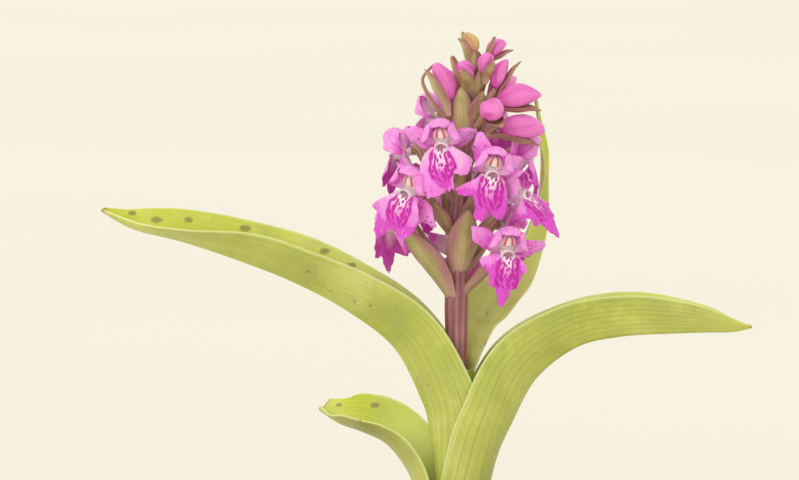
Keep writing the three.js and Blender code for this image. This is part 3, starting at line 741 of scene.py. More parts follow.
# %% [markdown]
# ## The flowers' places
# Fourteen flowers are open. Each has its mouth at a point, and faces its own way. Its frame is
# worked out once here: the ovaries that carry the flowers need it as well as the petals do.
# %% Fourteen flowers
# mouth, turn, nod, lean, size, spread of the lip, and (raise, swing) of the left and right sepal
BLOOMS = {
    "bloom_01": ((-4.2, -13.6, 199.4), -6, 8, -3, 1.0, 0.82, (-8, 10), (-26, 34)),
    "bloom_02": ((8.2, -13.6, 192.4), 6, 6, 9, 1.0, 0.94, (34, 4), (-10, 30)),
    "bloom_03": ((-12.3, -10.5, 187.6), -30, 6, 16, 1.0, 0.86, (-10, 30), (-70, 0)),
    "bloom_04": ((12.0, -10.8, 172.6), 8, 10, 4, 1.0, 0.74, (0, 6), (-20, 10)),
    "bloom_05": ((15.6, -5.0, 186.0), 54, -24, -18, 0.96, 0.8, (60, 0), (0, 20)),
    "bloom_06": ((-14.4, 3.6, 196.4), -122, 4, 0, 0.92, 0.82, (0, 20), (0, 20)),
    "bloom_07": ((-15.8, 9.2, 178.0), -142, 8, 0, 0.96, 0.82, (0, 20), (0, 20)),
    "bloom_08": ((17.0, 4.4, 195.0), 95, 4, 0, 0.84, 0.8, (0, 24), (0, 24)),
    "bloom_09": ((13.4, 7.8, 177.2), 121, 8, 0, 0.88, 0.8, (0, 24), (0, 24)),
    "bloom_10": ((0.8, 14.6, 170.4), 180, 8, 4, 0.96, 0.82, (0, 20), (0, 20)),
    "bloom_11": ((-6.2, 13.6, 187.4), 204, 8, -4, 0.92, 0.82, (0, 20), (0, 20)),
    "bloom_12": ((8.6, 12.8, 203.2), 154, 8, 0, 0.84, 0.8, (0, 24), (0, 24)),
    "bloom_13": ((-6.2, 11.6, 205.2), 212, 6, 0, 0.88, 0.8, (0, 24), (0, 24)),
    "bloom_14": ((8.2, 13.0, 187.6), 154, 8, 0, 0.84, 0.8, (0, 24), (0, 24)),
}


def bloom_matrix(mouth, turn, nod, lean, size):
    """From a flower's own millimetres, with the viewer at -Y, to the plant's."""
    made = Matrix.Translation(mouth)
    for degrees, axis in ((turn, "Z"), (nod, "X"), (lean, "Y")):
        made = made @ Matrix.Rotation(math.radians(degrees), 4, axis)
    return made @ Matrix.Scale(size, 4)


# %% Twelve buds: middle, bearing and rise of the tip, length, girth
BUDS = {
    "bud_01": ((-4.0, -2.6, 214.8), -60, 66, 10.0, 5.2),
    "bud_02": ((15.4, -1.6, 210.6), 86, 8, 10.8, 6.2),
    "bud_12": ((16.2, -1.4, 202.8), 92, -4, 11.0, 6.2),
    "bud_03": ((8.4, -9.8, 207.4), 14, 2, 8.6, 6.0),
    "bud_04": ((10.8, -1.8, 216.8), 76, 66, 7.6, 4.4),
    "bud_05": ((7.0, -5.6, 219.4), 14, 48, 6.4, 4.0),
    "bud_06": ((1.6, -5.2, 217.4), -26, 40, 6.6, 4.2),
    "bud_07": ((9.8, 0.6, 222.8), 80, 40, 5.4, 4.0),
    "bud_08": ((2.8, -2.0, 224.4), -60, 62, 5.6, 3.6),
    "bud_09": ((11.4, 6.6, 212.8), 126, 30, 9.6, 5.6),
    "bud_10": ((-1.6, 7.4, 213.8), 196, 44, 8.8, 5.0),
    "bud_11": ((6.0, 5.8, 217.6), 166, 52, 7.0, 4.4),
}


def bud_heading(towards, rise):
    """The direction in which a bud points."""
    return bearing(towards) * math.cos(math.radians(rise)) + UP * math.sin(math.radians(rise))


# %% [markdown]
# ## Ovaries
# A flower of this family sits on its ovary, which looks like its stalk. Each leaves the stem below
# its flower, bows outwards and ends behind the throat.
# %% Paths of the ovaries
FREE_MM = 0.35
# Where a flower's ovary ends in the flower's own millimetres
BLOOM_BACK = Vector((0, 3.8, 0.6))
# How far below its flower an ovary leaves the stem, how thick it is, and where its bend lies
BLOOM_OVARY = (13, 1.35, 2.4)
BUD_OVARY = (5.5, 0.85, 1.6)


def ovary_line(base, backwards, drop, thick, sink):
    """From inside the stem to just behind the flower's or bud's foot."""
    x, y, z, radius = rachis_at(base.z - drop)
    out = Vector((base.x - x, base.y - y, 0)).normalized()
    start = Vector((x, y, z)) + out * radius * 0.3
    neck = base + backwards * sink
    bow = start.lerp(neck, 0.5) + out * 0.7
    end = base + backwards * FREE_MM
    girths = (0.8, 1.1, 1.0, 0.7)
    return [[*p, thick * g] for p, g in zip((start, bow, neck, end), girths)]


ovaries = []
for mouth, turn, nod, lean, size, *_ in BLOOMS.values():
    place = bloom_matrix(mouth, turn, nod, lean, size)
    behind = (place.to_3x3() @ Vector((0, 1, 0))).normalized()
    ovaries.append(fine_line(ovary_line(place @ BLOOM_BACK, behind, *BLOOM_OVARY), 36, 2.8))
for middle, towards, rise, length, _ in BUDS.values():
    out = bud_heading(towards, rise)
    foot = Vector(middle) - out * length / 2
    ovaries.append(fine_line(ovary_line(foot, -out, *BUD_OVARY), 24, 2.4))
ovary = run_tree(
    "ovaries",
    line_mesh("ovary_lines", ovaries),
    make_stalk_tree(ovary_finish),
    Sides=30,
    Ribs=6,
    Depth=0.16,
)
show(ovary, "stalk", "stem")

# %% [markdown]
# ## Tubers
# Marsh orchids keep their food in a pair of tubers shaped like small hands. They are out of sight
# in the soil, and the same tree draws their fingers, with a smooth round section.
# %% Two hands of three fingers
def make_root():
    material, tree, shader, spot = new_material("tuber_skin")
    cloud = noise(tree, spot, 260.0, 5.0)
    colour = add(tree, RAMP, {"Fac": cloud}, stops=[(0.35, "#a98e62"), (0.6, "#ddd0a8")])
    dress(tree, shader, colour.outputs[0], (cloud, 0.3, 0.0004), 0.7)
    return material


fingers = []
for towards, grow in ((110, 1.0), (-70, 0.85)):
    root = bearing(towards) * 1.5
    for spread in (-38, 0, 36):
        out = bearing(towards + spread) * (13 if spread == 0 else 11) * grow
        stations = [
            [root.x, root.y, STEM_FOOT - 1, 2.6],
            [out.x * 0.35, out.y * 0.35, STEM_FOOT - 9, 3.8 * grow],
            [out.x * 0.75, out.y * 0.75, STEM_FOOT - 19, 2.6 * grow],
            [out.x, out.y, STEM_FOOT - 29 * grow, 0.9],
        ]
        fingers.append(fine_line(stations, 30))
tubers = run_tree(
    "tubers_like_hands",
    line_mesh("fingers", fingers),
    make_stalk_tree(make_root()),
    Sides=24,
    Ribs=1,
    Depth=0.0,
)
show(tubers, "root", "tubers")

# %% [markdown]
# ## Leaf tissue
# A leaf of this orchid is smooth and slightly waxy, with many fine veins that run side by side from
# sheath to tip. Light comes through it, so it looks yellower and brighter than its pigment alone.
# The upper face is the brighter one, and carries a few small brown-purple blots.
# %% Leaf
LEAF_VEINS = 8
LEAF_UPPER = [(0.55, "#bfc92e"), (0.78, "#d0d648"), (0.98, "#e2e67a")]
LEAF_LOWER = [(0.55, "#b1ba50"), (0.78, "#c5ca62"), (0.98, "#dbdd86")]
LEAF_REACH = (0.003, 0.003, 0.0008)


def make_leaf():
    material, tree, shader, spot = new_material("leaf_waxy_green")
    place = read(tree, "place", "Vector")
    under = read(tree, "under")
    at = add(tree, SPLIT, {0: place})
    across, share, blot = at.outputs["X"], at.outputs["Y"], at.outputs["Z"]
    cloud = noise(tree, spot, 45.0, 3.0)
    drawn = add(tree, VECTOR, {0: place, 1: (30.0, 1.6, 0.0)}, operation="MULTIPLY")
    streak = noise(tree, drawn, 1.0, 3.0)
    tone = maths(tree, "MULTIPLY_ADD", streak, 0.5, cloud)
    upper = add(tree, RAMP, {"Fac": tone}, stops=LEAF_UPPER)
    lower = add(tree, RAMP, {"Fac": tone}, stops=LEAF_LOWER)
    # Painted light: the upper face is painted paler below four fifths of its length, most in its
    # lower half, against the shade there.
    low = fade(tree, share, 0.8, 0.5, 0.65)
    upper = mix(tree, low, upper, "#e4e9a4")
    body = mix(tree, under, upper, lower)
    patch = noise(tree, spot, 75.0, 5.0, 0.7)
    dull = fade(tree, patch, 0.5, 0.72, 0.6)
    body = mix(tree, dull, body, "#a9ae66")
    # Painted highlights: yellower patches at random stand for light on the leaf.
    glow = fade(tree, patch, 0.46, 0.3, 0.6)
    body = mix(tree, glow, body, "#dbe072")
    cycle = maths(tree, "MULTIPLY", across, float(LEAF_VEINS))
    sway = maths(tree, "MULTIPLY_ADD", cloud, 0.35, cycle)
    near = maths(tree, "PINGPONG", sway, 0.5)
    vein = fade(tree, near, 0.11, 0.01, 0.34)
    foot = fade(tree, share, 0.95, 0.5, low=0.25)
    vein = maths(tree, "MULTIPLY", vein, foot)
    veined = mix(tree, vein, body, "#8fa13c")
    wide = maths(tree, "ABSOLUTE", across)
    rim = fade(tree, wide, 0.95, 0.985, 0.55)
    rimmed = mix(tree, rim, veined, "#e9eeb4")
    ragged = noise(tree, spot, 900.0, 2.0)
    edge = maths(tree, "MULTIPLY_ADD", ragged, 0.5, blot)
    stain = fade(tree, edge, 0.6, 0.95, 0.68)
    spotted = mix(tree, stain, rimmed, "#857248")
    flecks = add(tree, VORONOI, {"Vector": spot, "Scale": 260.0})
    fleck = fade(tree, flecks, 0.16, 0.1, 0.6)
    few = fade(tree, patch, 0.55, 0.58)
    fleck = maths(tree, "MULTIPLY", fleck, few)
    flecked = mix(tree, fleck, spotted, "#8a6a44")
    end = maths(tree, "MULTIPLY_ADD", patch, 0.02, share)
    dry = fade(tree, end, 0.995, 1.006, 0.7)
    dried = mix(tree, dry, flecked, "#a98a5a")
    dress(tree, shader, dried, (patch, 0.25, 0.0008), (cloud, 0.36, 0.5), 0.55, LEAF_REACH)
    return material


leaf_finish = make_leaf()

# %% [markdown]
# ## Leaves
# Each leaf starts as a sheath that wraps the stem, opens into a keeled blade and ends in a boat-
# shaped tip. Stations along its midrib are x, y, z, half width, cup, fold, roll and level: cup
# bends each half up by its edge, fold is the angle at the rib, and level makes the section flat.
# %% Four leaves: order on the stem, bearing, top of the sheath, its wrap, and the stations
LEAVES = {
    "leaf_back": (0, 172, 138, 150, [
        [0.4, 4.15, 142.5, 7.4, 98, 0, 0, 1],
        [1.7, 4.2, 147, 5.4, 50, 0, 0, 0.6],
        [5.2, 8.8, 153.6, 7.2, 54, 10, 6, 0],
        [9.8, 11.8, 160, 6.6, 30, 16, 20, 0],
        [14.6, 15.6, 166.8, 5.6, 14, 20, 42, 0],
        [18.4, 18.6, 174.6, 4.6, 8, 20, 62, 0],
        [20.8, 19.8, 183.6, 3.9, 6, 18, 76, 0],
        [21.6, 19.4, 192.6, 3.0, 6, 16, 84, 0],
        [21.0, 17.6, 201.2, 1.9, 6, 12, 88, 0],
        [19.8, 15.0, 209.4, 0.5, 4, 8, 88, 0],
    ]),
    "leaf_left": (1, -90, 112, 150, [
        [-5.7, 0, 121, 13.6, 142, 0, 0, 1],
        [-6.9, 0, 128.2, 14.4, 90, 24, 0, 0.5],
        [-8.6, 0, 134.5, 15.0, 54, 39, 0, 0.1],
        [-15.6, 0, 148, 14.0, 28, 50, 0, 0],
        [-27.4, -2.0, 157.6, 12.4, 14, 62, -8, 0],
        [-40.6, -3.2, 164.8, 12.0, 12, 58, -14, 0],
        [-54.4, -4.2, 170.4, 10.4, 12, 54, -14, 0],
        [-68.6, -5.0, 175.2, 8.2, 14, 44, -24, 0],
        [-80.6, -5.6, 178.4, 5.4, 14, 38, -27, 0],
        [-88.8, -6.0, 183.0, 0.6, 10, 34, -20, 0],
    ]),
    "leaf_right": (2, 90, 106, 150, [
        [8.0, 0, 114.5, 17.0, 132, 0, 0, 1],
        [9.9, 0, 121.5, 17.0, 118, 4, 0, 0.7],
        [13.0, 0, 128.5, 16.2, 69, 25, 0, 0.2],
        [19.4, 0, 140.4, 14.8, 33, 47, -2, 0],
        [29.6, -2.2, 148.6, 12.2, 14, 58, -3, 0],
        [40.6, -3.4, 151.4, 11.4, 12, 60, 0, 0],
        [51.8, -4.4, 152.2, 10.2, 12, 56, 0, 0],
        [61.4, -5.0, 152.6, 7.6, 14, 50, -4, 0],
        [68.4, -5.6, 152.8, 4.0, 14, 44, -6, 0],
        [73.2, -6.0, 153.8, 0.6, 10, 34, -8, 0],
    ]),
    "leaf_low_left": (3, -118, 100, 134, [
        [-8.4, 4.5, 104.6, 18.6, 120, 0, 0, 1],
        [-9.6, 5.1, 110.0, 14.2, 94, 0, 0, 0.9],
        [-12.4, 7.0, 116.4, 11.2, 40, 34, -6, 0],
        [-17.6, 10.4, 122.6, 10.8, 22, 44, -18, 0],
        [-23.8, 13.6, 125.4, 9.8, 16, 46, -28, 0],
        [-29.6, 16.4, 127.2, 7.4, 14, 44, -26, 0],
        [-34.6, 18.4, 130.2, 3.4, 14, 40, -22, 0],
    ]),
}
# Where blots lie on the upper face, as x and z in millimetres, and how long each is
BLOTS = {
    "leaf_left": [
        (-81, 182, 1.4), (-75.2, 180.4, 1.9), (-67, 180.2, 1.6), (-67.4, 178, 1.2), (-53, 178, 2.0),
        (-41.8, 174.6, 1.8), (-33.2, 172.4, 1.9), (-26.4, 168.6, 1.5),
    ],
    "leaf_low_left": [(-20.8, 131.8, 1.8), (-30, 131.6, 1.2)],
    "leaf_right": [(49, 159.6, 1.0)],
    "leaf_back": [],
}


SHEATH_MM = 3.75
SHEATH_STEP_MM = 1.4
SHEATH_FOOT_MM = 93.5
SHEATH_DROP_MM = 3.6
LEAF_THICK_MM = 0.8
LEAF_RIDGE_MM = 0.025
LEAF_WAVE_MM = 0.35
LEAF_MESH = (72, 210)
BLOT_SIZE = 0.78


def leaf_part(number, order, towards, top, wrap, stations):
    """The whole leaf, from the foot of its sheath to its tip."""
    radius = SHEATH_MM + order * SHEATH_STEP_MM
    foot = SHEATH_FOOT_MM - order * SHEATH_DROP_MM
    out = bearing(towards)
    rings = [(SHEATH_MM, foot), (radius, 93), (radius, top)]
    if order == 0:
        rings.pop(1)
    rib = [[out.x * r, out.y * r, z, r * math.radians(wrap), wrap, 0, 0, 1] for r, z in rings]
    rib += stations

    def relief(u, t):
        ridges = LEAF_RIDGE_MM * math.cos(2 * math.pi * LEAF_VEINS * u)
        if t <= 0.4:
            return ridges
        return ridges + LEAF_WAVE_MM * u**4 * math.sin(t * 31 + number * 2 + (2 if u > 0 else 0))

    return blade(rib, UP.cross(out), LEAF_THICK_MM, *LEAF_MESH, relief)


# %% Blots, and the leaves shown
for number, (name, (order, towards, top, wrap, stations)) in enumerate(LEAVES.items()):
    part = leaf_part(number, order, towards, top, wrap, stations)
    half = len(part["points"]) // 2
    blots = []
    for x, z, length in BLOTS[name]:
        near = min(
            range(half, 2 * half),
            key=lambda k: (part["points"][k].x - x) ** 2 + (part["points"][k].z - z) ** 2,
        )
        blots.append((part["points"][near], length))
    for k in range(half, 2 * half):
        u, t, _ = part["place"][k]
        depth = 0
        for place, size in blots:
            off = part["points"][k] - place
            off = Vector((off.x * 0.75, off.y, off.z * 1.3))
            depth = max(depth, 1 - off.length / size / BLOT_SIZE)
        part["place"][k] = (u, t, depth**0.5)
    part["material"] = leaf_finish
    show(join_parts(name + "_blade", [part]), "leaf", name)

# %% [markdown]
# ## Bracts
# Bracts are small leaves that stand below the flowers. These are olive in the middle, flushed
# purple along their edges and pink at the foot, with a few veins that run side by side. The first
# twelve of the table are those of the solid stem. Nine more fill the top, and a narrow one follows
# the underside of each bud.
# %% Bract finish
def make_bract():
    material, tree, shader, spot = new_material("bract_olive_flushed")
    place = read(tree, "place", "Vector")
    at = add(tree, SPLIT, {0: place})
    wide = maths(tree, "ABSOLUTE", at.outputs["X"])
    cloud = noise(tree, spot, 240.0, 4.0)
    patch = noise(tree, spot, 90.0, 2.0)
    edge = maths(tree, "MULTIPLY_ADD", cloud, 0.9, wide)
    edge = maths(tree, "MULTIPLY_ADD", patch, 0.7, edge)
    flush = fade(tree, edge, 1.1, 1.65, 0.9)
    rough_share = maths(tree, "MULTIPLY_ADD", cloud, 0.3, at.outputs["Y"])
    foot = fade(tree, rough_share, 0.5, 0.15, 0.85)
    middle = add(tree, RAMP, {"Fac": cloud}, stops=[(0.35, "#b0a566"), (0.65, "#cdc388")])
    body = mix(tree, flush, middle, "#b0707c")
    based = mix(tree, foot, body, "#d8aca0")
    sway = maths(tree, "MULTIPLY_ADD", cloud, 0.3, at.outputs["X"])
    cycle = maths(tree, "MULTIPLY", sway, 4.0)
    near = maths(tree, "PINGPONG", cycle, 0.5)
    vein = fade(tree, near, 0.16, 0.04, 0.35)
    colour = mix(tree, vein, based, "#96705a")
    dress(tree, shader, colour, (near, 0.15, 0.0003), 0.48, 0.35, (0.0018, 0.0012, 0.0006))
    return material


bract_finish = make_bract()

# %% Bracts up the stem
BRACT_THICK_MM = 0.6
BRACT_MESH = (16, 32)
YOUNG_THICK_MM = 0.4
YOUNG_MESH = (12, 24)
# bearing, height of the foot, length, width, spread, how far it closes in again, turn about its rib
BRACTS = [
    (-58, 161, 17.5, 9.4, 11.6, 0, 30), (24, 167, 16.0, 9.4, 3.2, 0, 0),
    (-44, 177, 8.0, 3.8, 5.0, 0, 0), (62, 169, 10.0, 4.4, 4.0, 0, 0),
    (-8, 186, 12.0, 4.0, 1.0, 0, 0), (-14, 200, 13.5, 6.6, 1.4, 0, 0),
    (40, 203, 9.4, 5.0, 3.6, 0, 0), (-88, 200, 19.0, 3.2, 12.4, 1, 0),
    (176, 160, 12.0, 5.4, 6.0, 0, 0), (-152, 177, 10.0, 4.6, 4.0, 0, 0),
    (146, 179, 10.0, 4.6, 3.6, 0, 0), (100, 186, 9.0, 4.0, 3.6, 0, 0),
    (-20, 210, 9.6, 4.0, 2.0, 0, 0), (38, 210, 9.4, 4.0, 3.4, 0, 20),
    (-64, 211, 10.0, 3.4, 3.0, 0, 0), (4, 214, 8.4, 3.0, 1.6, 0, 0),
    (160, 212, 10.0, 4.0, 3.4, 0, 0), (-130, 211, 10.0, 4.0, 3.4, 0, 0),
    (-50, 217, 10.2, 2.6, 2.2, 0, 0), (60, 217, 9.0, 2.4, 3.6, 0, 0),
    (110, 217, 8.6, 2.4, 3.0, 0, 0),
]


def bract_part(towards, z, length, width, spread, close, turned):
    """A bract from its foot in the stem to its tip."""
    x, y, foot, radius = rachis_at(z)
    out = bearing(towards)
    rise = [
        (radius * 0.45, -0.1, 0.42, 30),
        (radius + 0.6 + spread * 0.16, 0.22, 0.9, 34),
        (radius + 1.0 + spread * 0.46, 0.52, 1.0, 26),
        (radius + 1.0 + spread * (0.78 - close * 0.15), 0.8, 0.62, 20),
        (radius + 0.8 + spread * (1 - close * 0.6), 1.0, 0.14, 10),
    ]
    rib = [
        [x + out.x * r, y + out.y * r, foot + up * length, width / 2 * share, cup, 10, turned * up]
        for r, up, share, cup in rise
    ]

    def ribs(u, t):
        return 0.05 * math.cos(8 * math.pi * u)

    return blade(rib, UP.cross(out), BRACT_THICK_MM, *BRACT_MESH, ribs)


def bud_bract(number, middle, towards, rise, length, girth):
    """A narrow bract that starts below a bud, follows its underside and ends in a free tip."""
    forward = bud_heading(towards, rise)
    below = forward.cross(UP).normalized().cross(forward) * -1
    twist = Quaternion(forward, math.radians(50 * chance(number + 3) - 25))
    below = twist @ below
    low = girth / 2 + 0.35
    reach = (0.55 + 0.45 * chance(number + 9)) * min(6 / length, 1)
    rise_of_rib = [
        (-0.85, low * 0.75, 0.5, 40), (-0.5, low * 0.72, 0.85, 46), (-0.1, low, 1.0, 50),
        (0.1 + reach * 0.2, low * 1.02, 0.7, 44),
        (0.15 + reach * 0.6, low * (0.9 + 0.5 * reach), 0.12, 10),
    ]
    rib = []
    for share, off, wide, cup in rise_of_rib:
        place = Vector(middle) + forward * length * share + below * off
        rib.append([*place, girth * 0.46 * wide, cup, 8, 0])
    return blade(rib, forward.cross(below), YOUNG_THICK_MM, *YOUNG_MESH)


parts = [bract_part(*facts) for facts in BRACTS]
parts += [bud_bract(number, *facts) for number, facts in enumerate(BUDS.values())]
for part in parts:
    part["material"] = bract_finish
show(join_parts("bracts", parts), "stalk", "stem")

# %% [markdown]
# ## Petal tissue
# Petals sparkle a little, because each cell of their skin is a tiny dome. They are magenta and
# thin, so light that goes in comes out again near by. Colour is deepest towards the tips and
# pales to almost white by the throat, and the sepals that spread sideways have small dark specks.
# %% Petals
def make_petal(name, pale, middle, deep):
    material, tree, shader, spot = new_material(name)
    place = read(tree, "place", "Vector")
    under = read(tree, "under")
    kind = read(tree, "kind")
    at = add(tree, SPLIT, {0: place})
    share = at.outputs["Y"]
    cloud = noise(tree, spot, 150.0, 2.0)
    blush = noise(tree, spot, 520.0, 4.0, 0.65)
    tone = maths(tree, "MULTIPLY_ADD", cloud, 0.9, share)
    tone = maths(tree, "MULTIPLY_ADD", blush, 0.5, tone)
    tone = maths(tree, "MULTIPLY_ADD", kind, -0.5, tone)
    inner = add(tree, RAMP, {"Fac": tone}, stops=[(0.7, pale), (1.2, middle), (1.75, deep)])
    banded = [(0.6, deep), (1.0, middle), (1.45, deep), (1.8, middle)]
    outer = add(tree, RAMP, {"Fac": tone}, stops=banded)
    body = mix(tree, under, inner, outer)
    drawn = add(tree, VECTOR, {0: place, 1: (7.0, 1.4, 0.0)}, operation="MULTIPLY")
    streak = noise(tree, drawn, 1.0, 3.0)
    # Painted highlights: pale streaks along each petal stand for light on its surface.
    painted_highlight_streak = fade(tree, streak, 0.52, 0.66, 0.45)
    with_painted_highlights = mix(tree, painted_highlight_streak, body, pale)
    wavy = maths(tree, "MULTIPLY_ADD", blush, 0.25, at.outputs["X"])
    cycle = maths(tree, "MULTIPLY", wavy, 2.5)
    near = maths(tree, "PINGPONG", cycle, 0.5)
    vein = fade(tree, near, 0.14, 0.02, 0.5)
    veined = mix(tree, vein, with_painted_highlights, deep)
    dots = add(tree, VORONOI, {"Vector": spot, "Scale": 900.0})
    dot = fade(tree, dots, 0.36, 0.24, 0.85)
    specked = maths(tree, "MULTIPLY", dot, kind)
    gate = fade(tree, blush, 0.5, 0.54)
    specked = maths(tree, "MULTIPLY", specked, gate)
    wide = maths(tree, "ABSOLUTE", wavy)
    margin = fade(tree, wide, 0.82, 1.1, 0.6)
    edged = mix(tree, margin, veined, deep)
    colour = mix(tree, specked, edged, "#a8209a")
    cells = add(tree, VORONOI, {"Vector": spot, "Scale": 5200.0})
    height = maths(tree, "MULTIPLY_ADD", streak, 2.0, cells)
    dress(tree, shader, colour, (height, 0.25, 0.00015), 0.46, 0.55, (0.003, 0.0014, 0.0026))
    return material


petal_finish = make_petal("petal_magenta", "#ffe4f7", "#f79fea", "#ee66dc")
young_finish = make_petal("young_bud_gold", "#f4e0a0", "#dcb878", "#c88c80")
bud_finish = make_petal("bud_closed_petal", "#fbb0e2", "#f383d4", "#e25cc0")

# %% [markdown]
# ## The lip's pattern
# The lip carries the marks that guide a bee: two brackets side by side, a broken loop within them,
# and short dashes and dots down the middle. They are drawn here as rings, in millimetres from the
# mouth. A ring is the place where the distance to a stretched centre is one. Noise breaks the rings
# up and makes no two lips the same.
# %% Lip
MARK_CENTRE = (0.0, 4.2, 0.0)
OUTER_RING_MM = (2.9, 4.3, 1.0)
INNER_RING_MM = (1.5, 3.0, 1.0)
# Half the width of each ring's line, as a share of the ring
OUTER_LINE = 0.17
INNER_LINE = 0.26
DASH_PITCH_MM = 1.2
WANDER_MM = 2.4
LIP_BODY = [(0.4, "#fcd2f2"), (0.8, "#f49eea"), (1.15, "#ec72de"), (1.55, "#de4ece")]
LIP_MARK = "#c600a4"


def make_lip():
    material, tree, shader, spot = new_material("lip_marked")
    place = read(tree, "place", "Vector")
    under = read(tree, "under")
    sway = noise(tree, spot, 260.0, 2.0)
    half = (0.5, 0.5, 0.5)
    shift = add(tree, VECTOR, {0: sway.outputs["Color"], 1: half}, operation="SUBTRACT")
    flow = add(tree, VECTOR, {0: shift, "Scale": WANDER_MM}, operation="SCALE")
    moved = add(tree, VECTOR, {0: place, 1: flow}, operation="ADD")
    level = add(tree, VECTOR, {0: moved, 1: (1.0, 1.0, 0.0)}, operation="MULTIPLY")
    from_centre = add(tree, VECTOR, {0: level, 1: MARK_CENTRE}, operation="SUBTRACT")
    marks = []
    for radii, width in ((OUTER_RING_MM, OUTER_LINE), (INNER_RING_MM, INNER_LINE)):
        shrunk = add(tree, VECTOR, {0: from_centre, 1: radii}, operation="DIVIDE")
        reach = add(tree, VECTOR, {0: shrunk}, operation="LENGTH").outputs["Value"]
        off = maths(tree, "SUBTRACT", reach, 1.0)
        off = maths(tree, "ABSOLUTE", off)
        line = fade(tree, off, width, width * 0.4)
        side = maths(tree, "ABSOLUTE", add(tree, SPLIT, {0: shrunk}).outputs["X"])
        gate = fade(tree, side, 0.5, 0.66)
        marks.append(maths(tree, "MULTIPLY", line, gate))
        if radii == OUTER_RING_MM:
            within = fade(tree, reach, 1.02, 0.9)
            region = fade(tree, reach, 1.4, 0.7)
    squeeze = add(tree, VECTOR, {0: level, 1: (1.5, 0.72, 1.0)}, operation="MULTIPLY")
    dashes = add(
        tree,
        VORONOI,
        {"Vector": squeeze, "Scale": 1 / DASH_PITCH_MM, "Randomness": 0.75},
        voronoi_dimensions="2D",
    )
    dash = fade(tree, dashes, 0.4, 0.28)
    marks.append(maths(tree, "MULTIPLY", dash, within))
    mark = maths(tree, "MAXIMUM", marks[0], marks[1])
    mark = maths(tree, "MAXIMUM", mark, marks[2])
    inside = maths(tree, "SUBTRACT", 1.0, under)
    mark = maths(tree, "MULTIPLY", mark, inside)
    at = add(tree, SPLIT, {0: place})
    cloud = noise(tree, spot, 240.0, 3.0)
    wide = fade(tree, region, 0.0, 1.0, 0.3)
    fall = fade(tree, at.outputs["Y"], 2.0, 8.0, 0.4)
    wide = maths(tree, "ADD", wide, fall)
    kind = read(tree, "kind")
    depth = maths(tree, "MULTIPLY_ADD", kind, 0.45, wide)
    fan = add(tree, VECTOR, {0: place, 1: (1.6, 0.3, 0.0)}, operation="MULTIPLY")
    streak = noise(tree, fan, 1.0, 3.0)
    depth = maths(tree, "MULTIPLY_ADD", streak, 0.35, depth)
    tone = maths(tree, "MULTIPLY_ADD", cloud, 0.5, depth)
    body = add(tree, RAMP, {"Fac": tone}, stops=LIP_BODY)
    from_top = add(tree, VECTOR, {0: level, 1: (0.4, 0.21, 0.0)}, operation="MULTIPLY")
    far = add(tree, VECTOR, {0: from_top}, operation="LENGTH").outputs["Value"]
    rough_far = maths(tree, "MULTIPLY_ADD", cloud, 0.6, far)
    top = fade(tree, rough_far, 1.5, 0.65, 0.95)
    paled = mix(tree, top, body, "#fff2f5")
    colour = mix(tree, mark, paled, LIP_MARK)
    cells = add(tree, VORONOI, {"Vector": spot, "Scale": 4200.0})
    height = maths(tree, "MULTIPLY_ADD", streak, 4.0, cells)
    dress(tree, shader, colour, (height, 0.3, 0.00014), 0.55, 0.4, (0.0016, 0.0006, 0.0014))
    return material


lip_finish = make_lip()

# %% [markdown]
# ## The throat
# Between hood and lip is the throat: a pale collar with rose dots round the way into the spur, with
#  painted mauve shade in its hollow, and above it the short, wide column with its upright red
#  stripes.
# %% Throat finish
def make_throat():
    material, tree, shader, spot = new_material("throat_cream_striped")
    place = read(tree, "place", "Vector")
    kind = read(tree, "kind")
    at = add(tree, SPLIT, {0: place})
    dots = add(tree, VORONOI, {"Vector": spot, "Scale": 900.0})
    dot = fade(tree, dots, 0.24, 0.16, 0.7)
    collar = mix(tree, dot, "#fff0f3", "#d86884")
    # Painted shade: the far part of the collar, where it opens into the spur, is mauve for the
    # shade in that hollow.
    painted_spur_shade = fade(tree, at.outputs["Y"], 0.62, 0.78)
    collar_with_spur_shade = mix(tree, painted_spur_shade, collar, "#c795ad")
    side = maths(tree, "ABSOLUTE", at.outputs["X"])
    off = maths(tree, "PINGPONG", side, 0.46)
    stripe = fade(tree, off, 0.26, 0.36, 0.95)
    high = fade(tree, at.outputs["Y"], 0.16, 0.22)
    stripe = maths(tree, "MULTIPLY", stripe, high)
    column = mix(tree, stripe, "#ffeaee", "#e8503c")
    colour = mix(tree, kind, collar_with_spur_shade, column)
    cells = noise(tree, spot, 2200.0)
    dress(tree, shader, colour, (cells, 0.15, 0.0001), 0.42, 0.7, (0.0036, 0.0026, 0.0026))
    return material


throat_finish = make_throat()

# %% [markdown]
# ## The parts of a flower
# Five petals and a lip: the hood is the middle sepal, two cheeks lie under it, and two sepals
# spread like wings. The lip is a fan of spokes from the mouth, long in the middle, with a notch on
# each side and a broad side lobe. Behind it hangs the spur, and the ovary carries the whole.
# %% Ribs of the petals
HOOD = [
    [0, 2.2, 0.8, 2.4, 60, 0, 0], [0, 2.6, 3.2, 5.0, 84, 0, 0], [0, 1.3, 5.8, 6.3, 96, 0, 0],
    [0, -1.2, 7.0, 6.2, 104, 0, 0], [0, -3.4, 6.5, 4.4, 100, 0, 0], [0, -4.3, 5.7, 1.6, 60, 0, 0],
]
CHEEK = [
    [1.2, 1.6, 0.6, 1.2, 30, 0, 0], [3.4, 0.4, 2.4, 2.3, 40, 0, 0], [3.9, -1.6, 3.9, 2.4, 40, 0, 0],
    [2.4, -3.6, 5.2, 0.6, 30, 0, 0],
]
WING = [
    [0.9, 1.7, 0.2, 1.0, 12, 0, 0], [3.6, 1.9, 1.4, 2.3, 20, 0, 0], [6.6, 1.6, 3.4, 2.4, 18, 0, 0],
    [9.2, 1.8, 5.6, 0.5, 10, 0, 0],
]
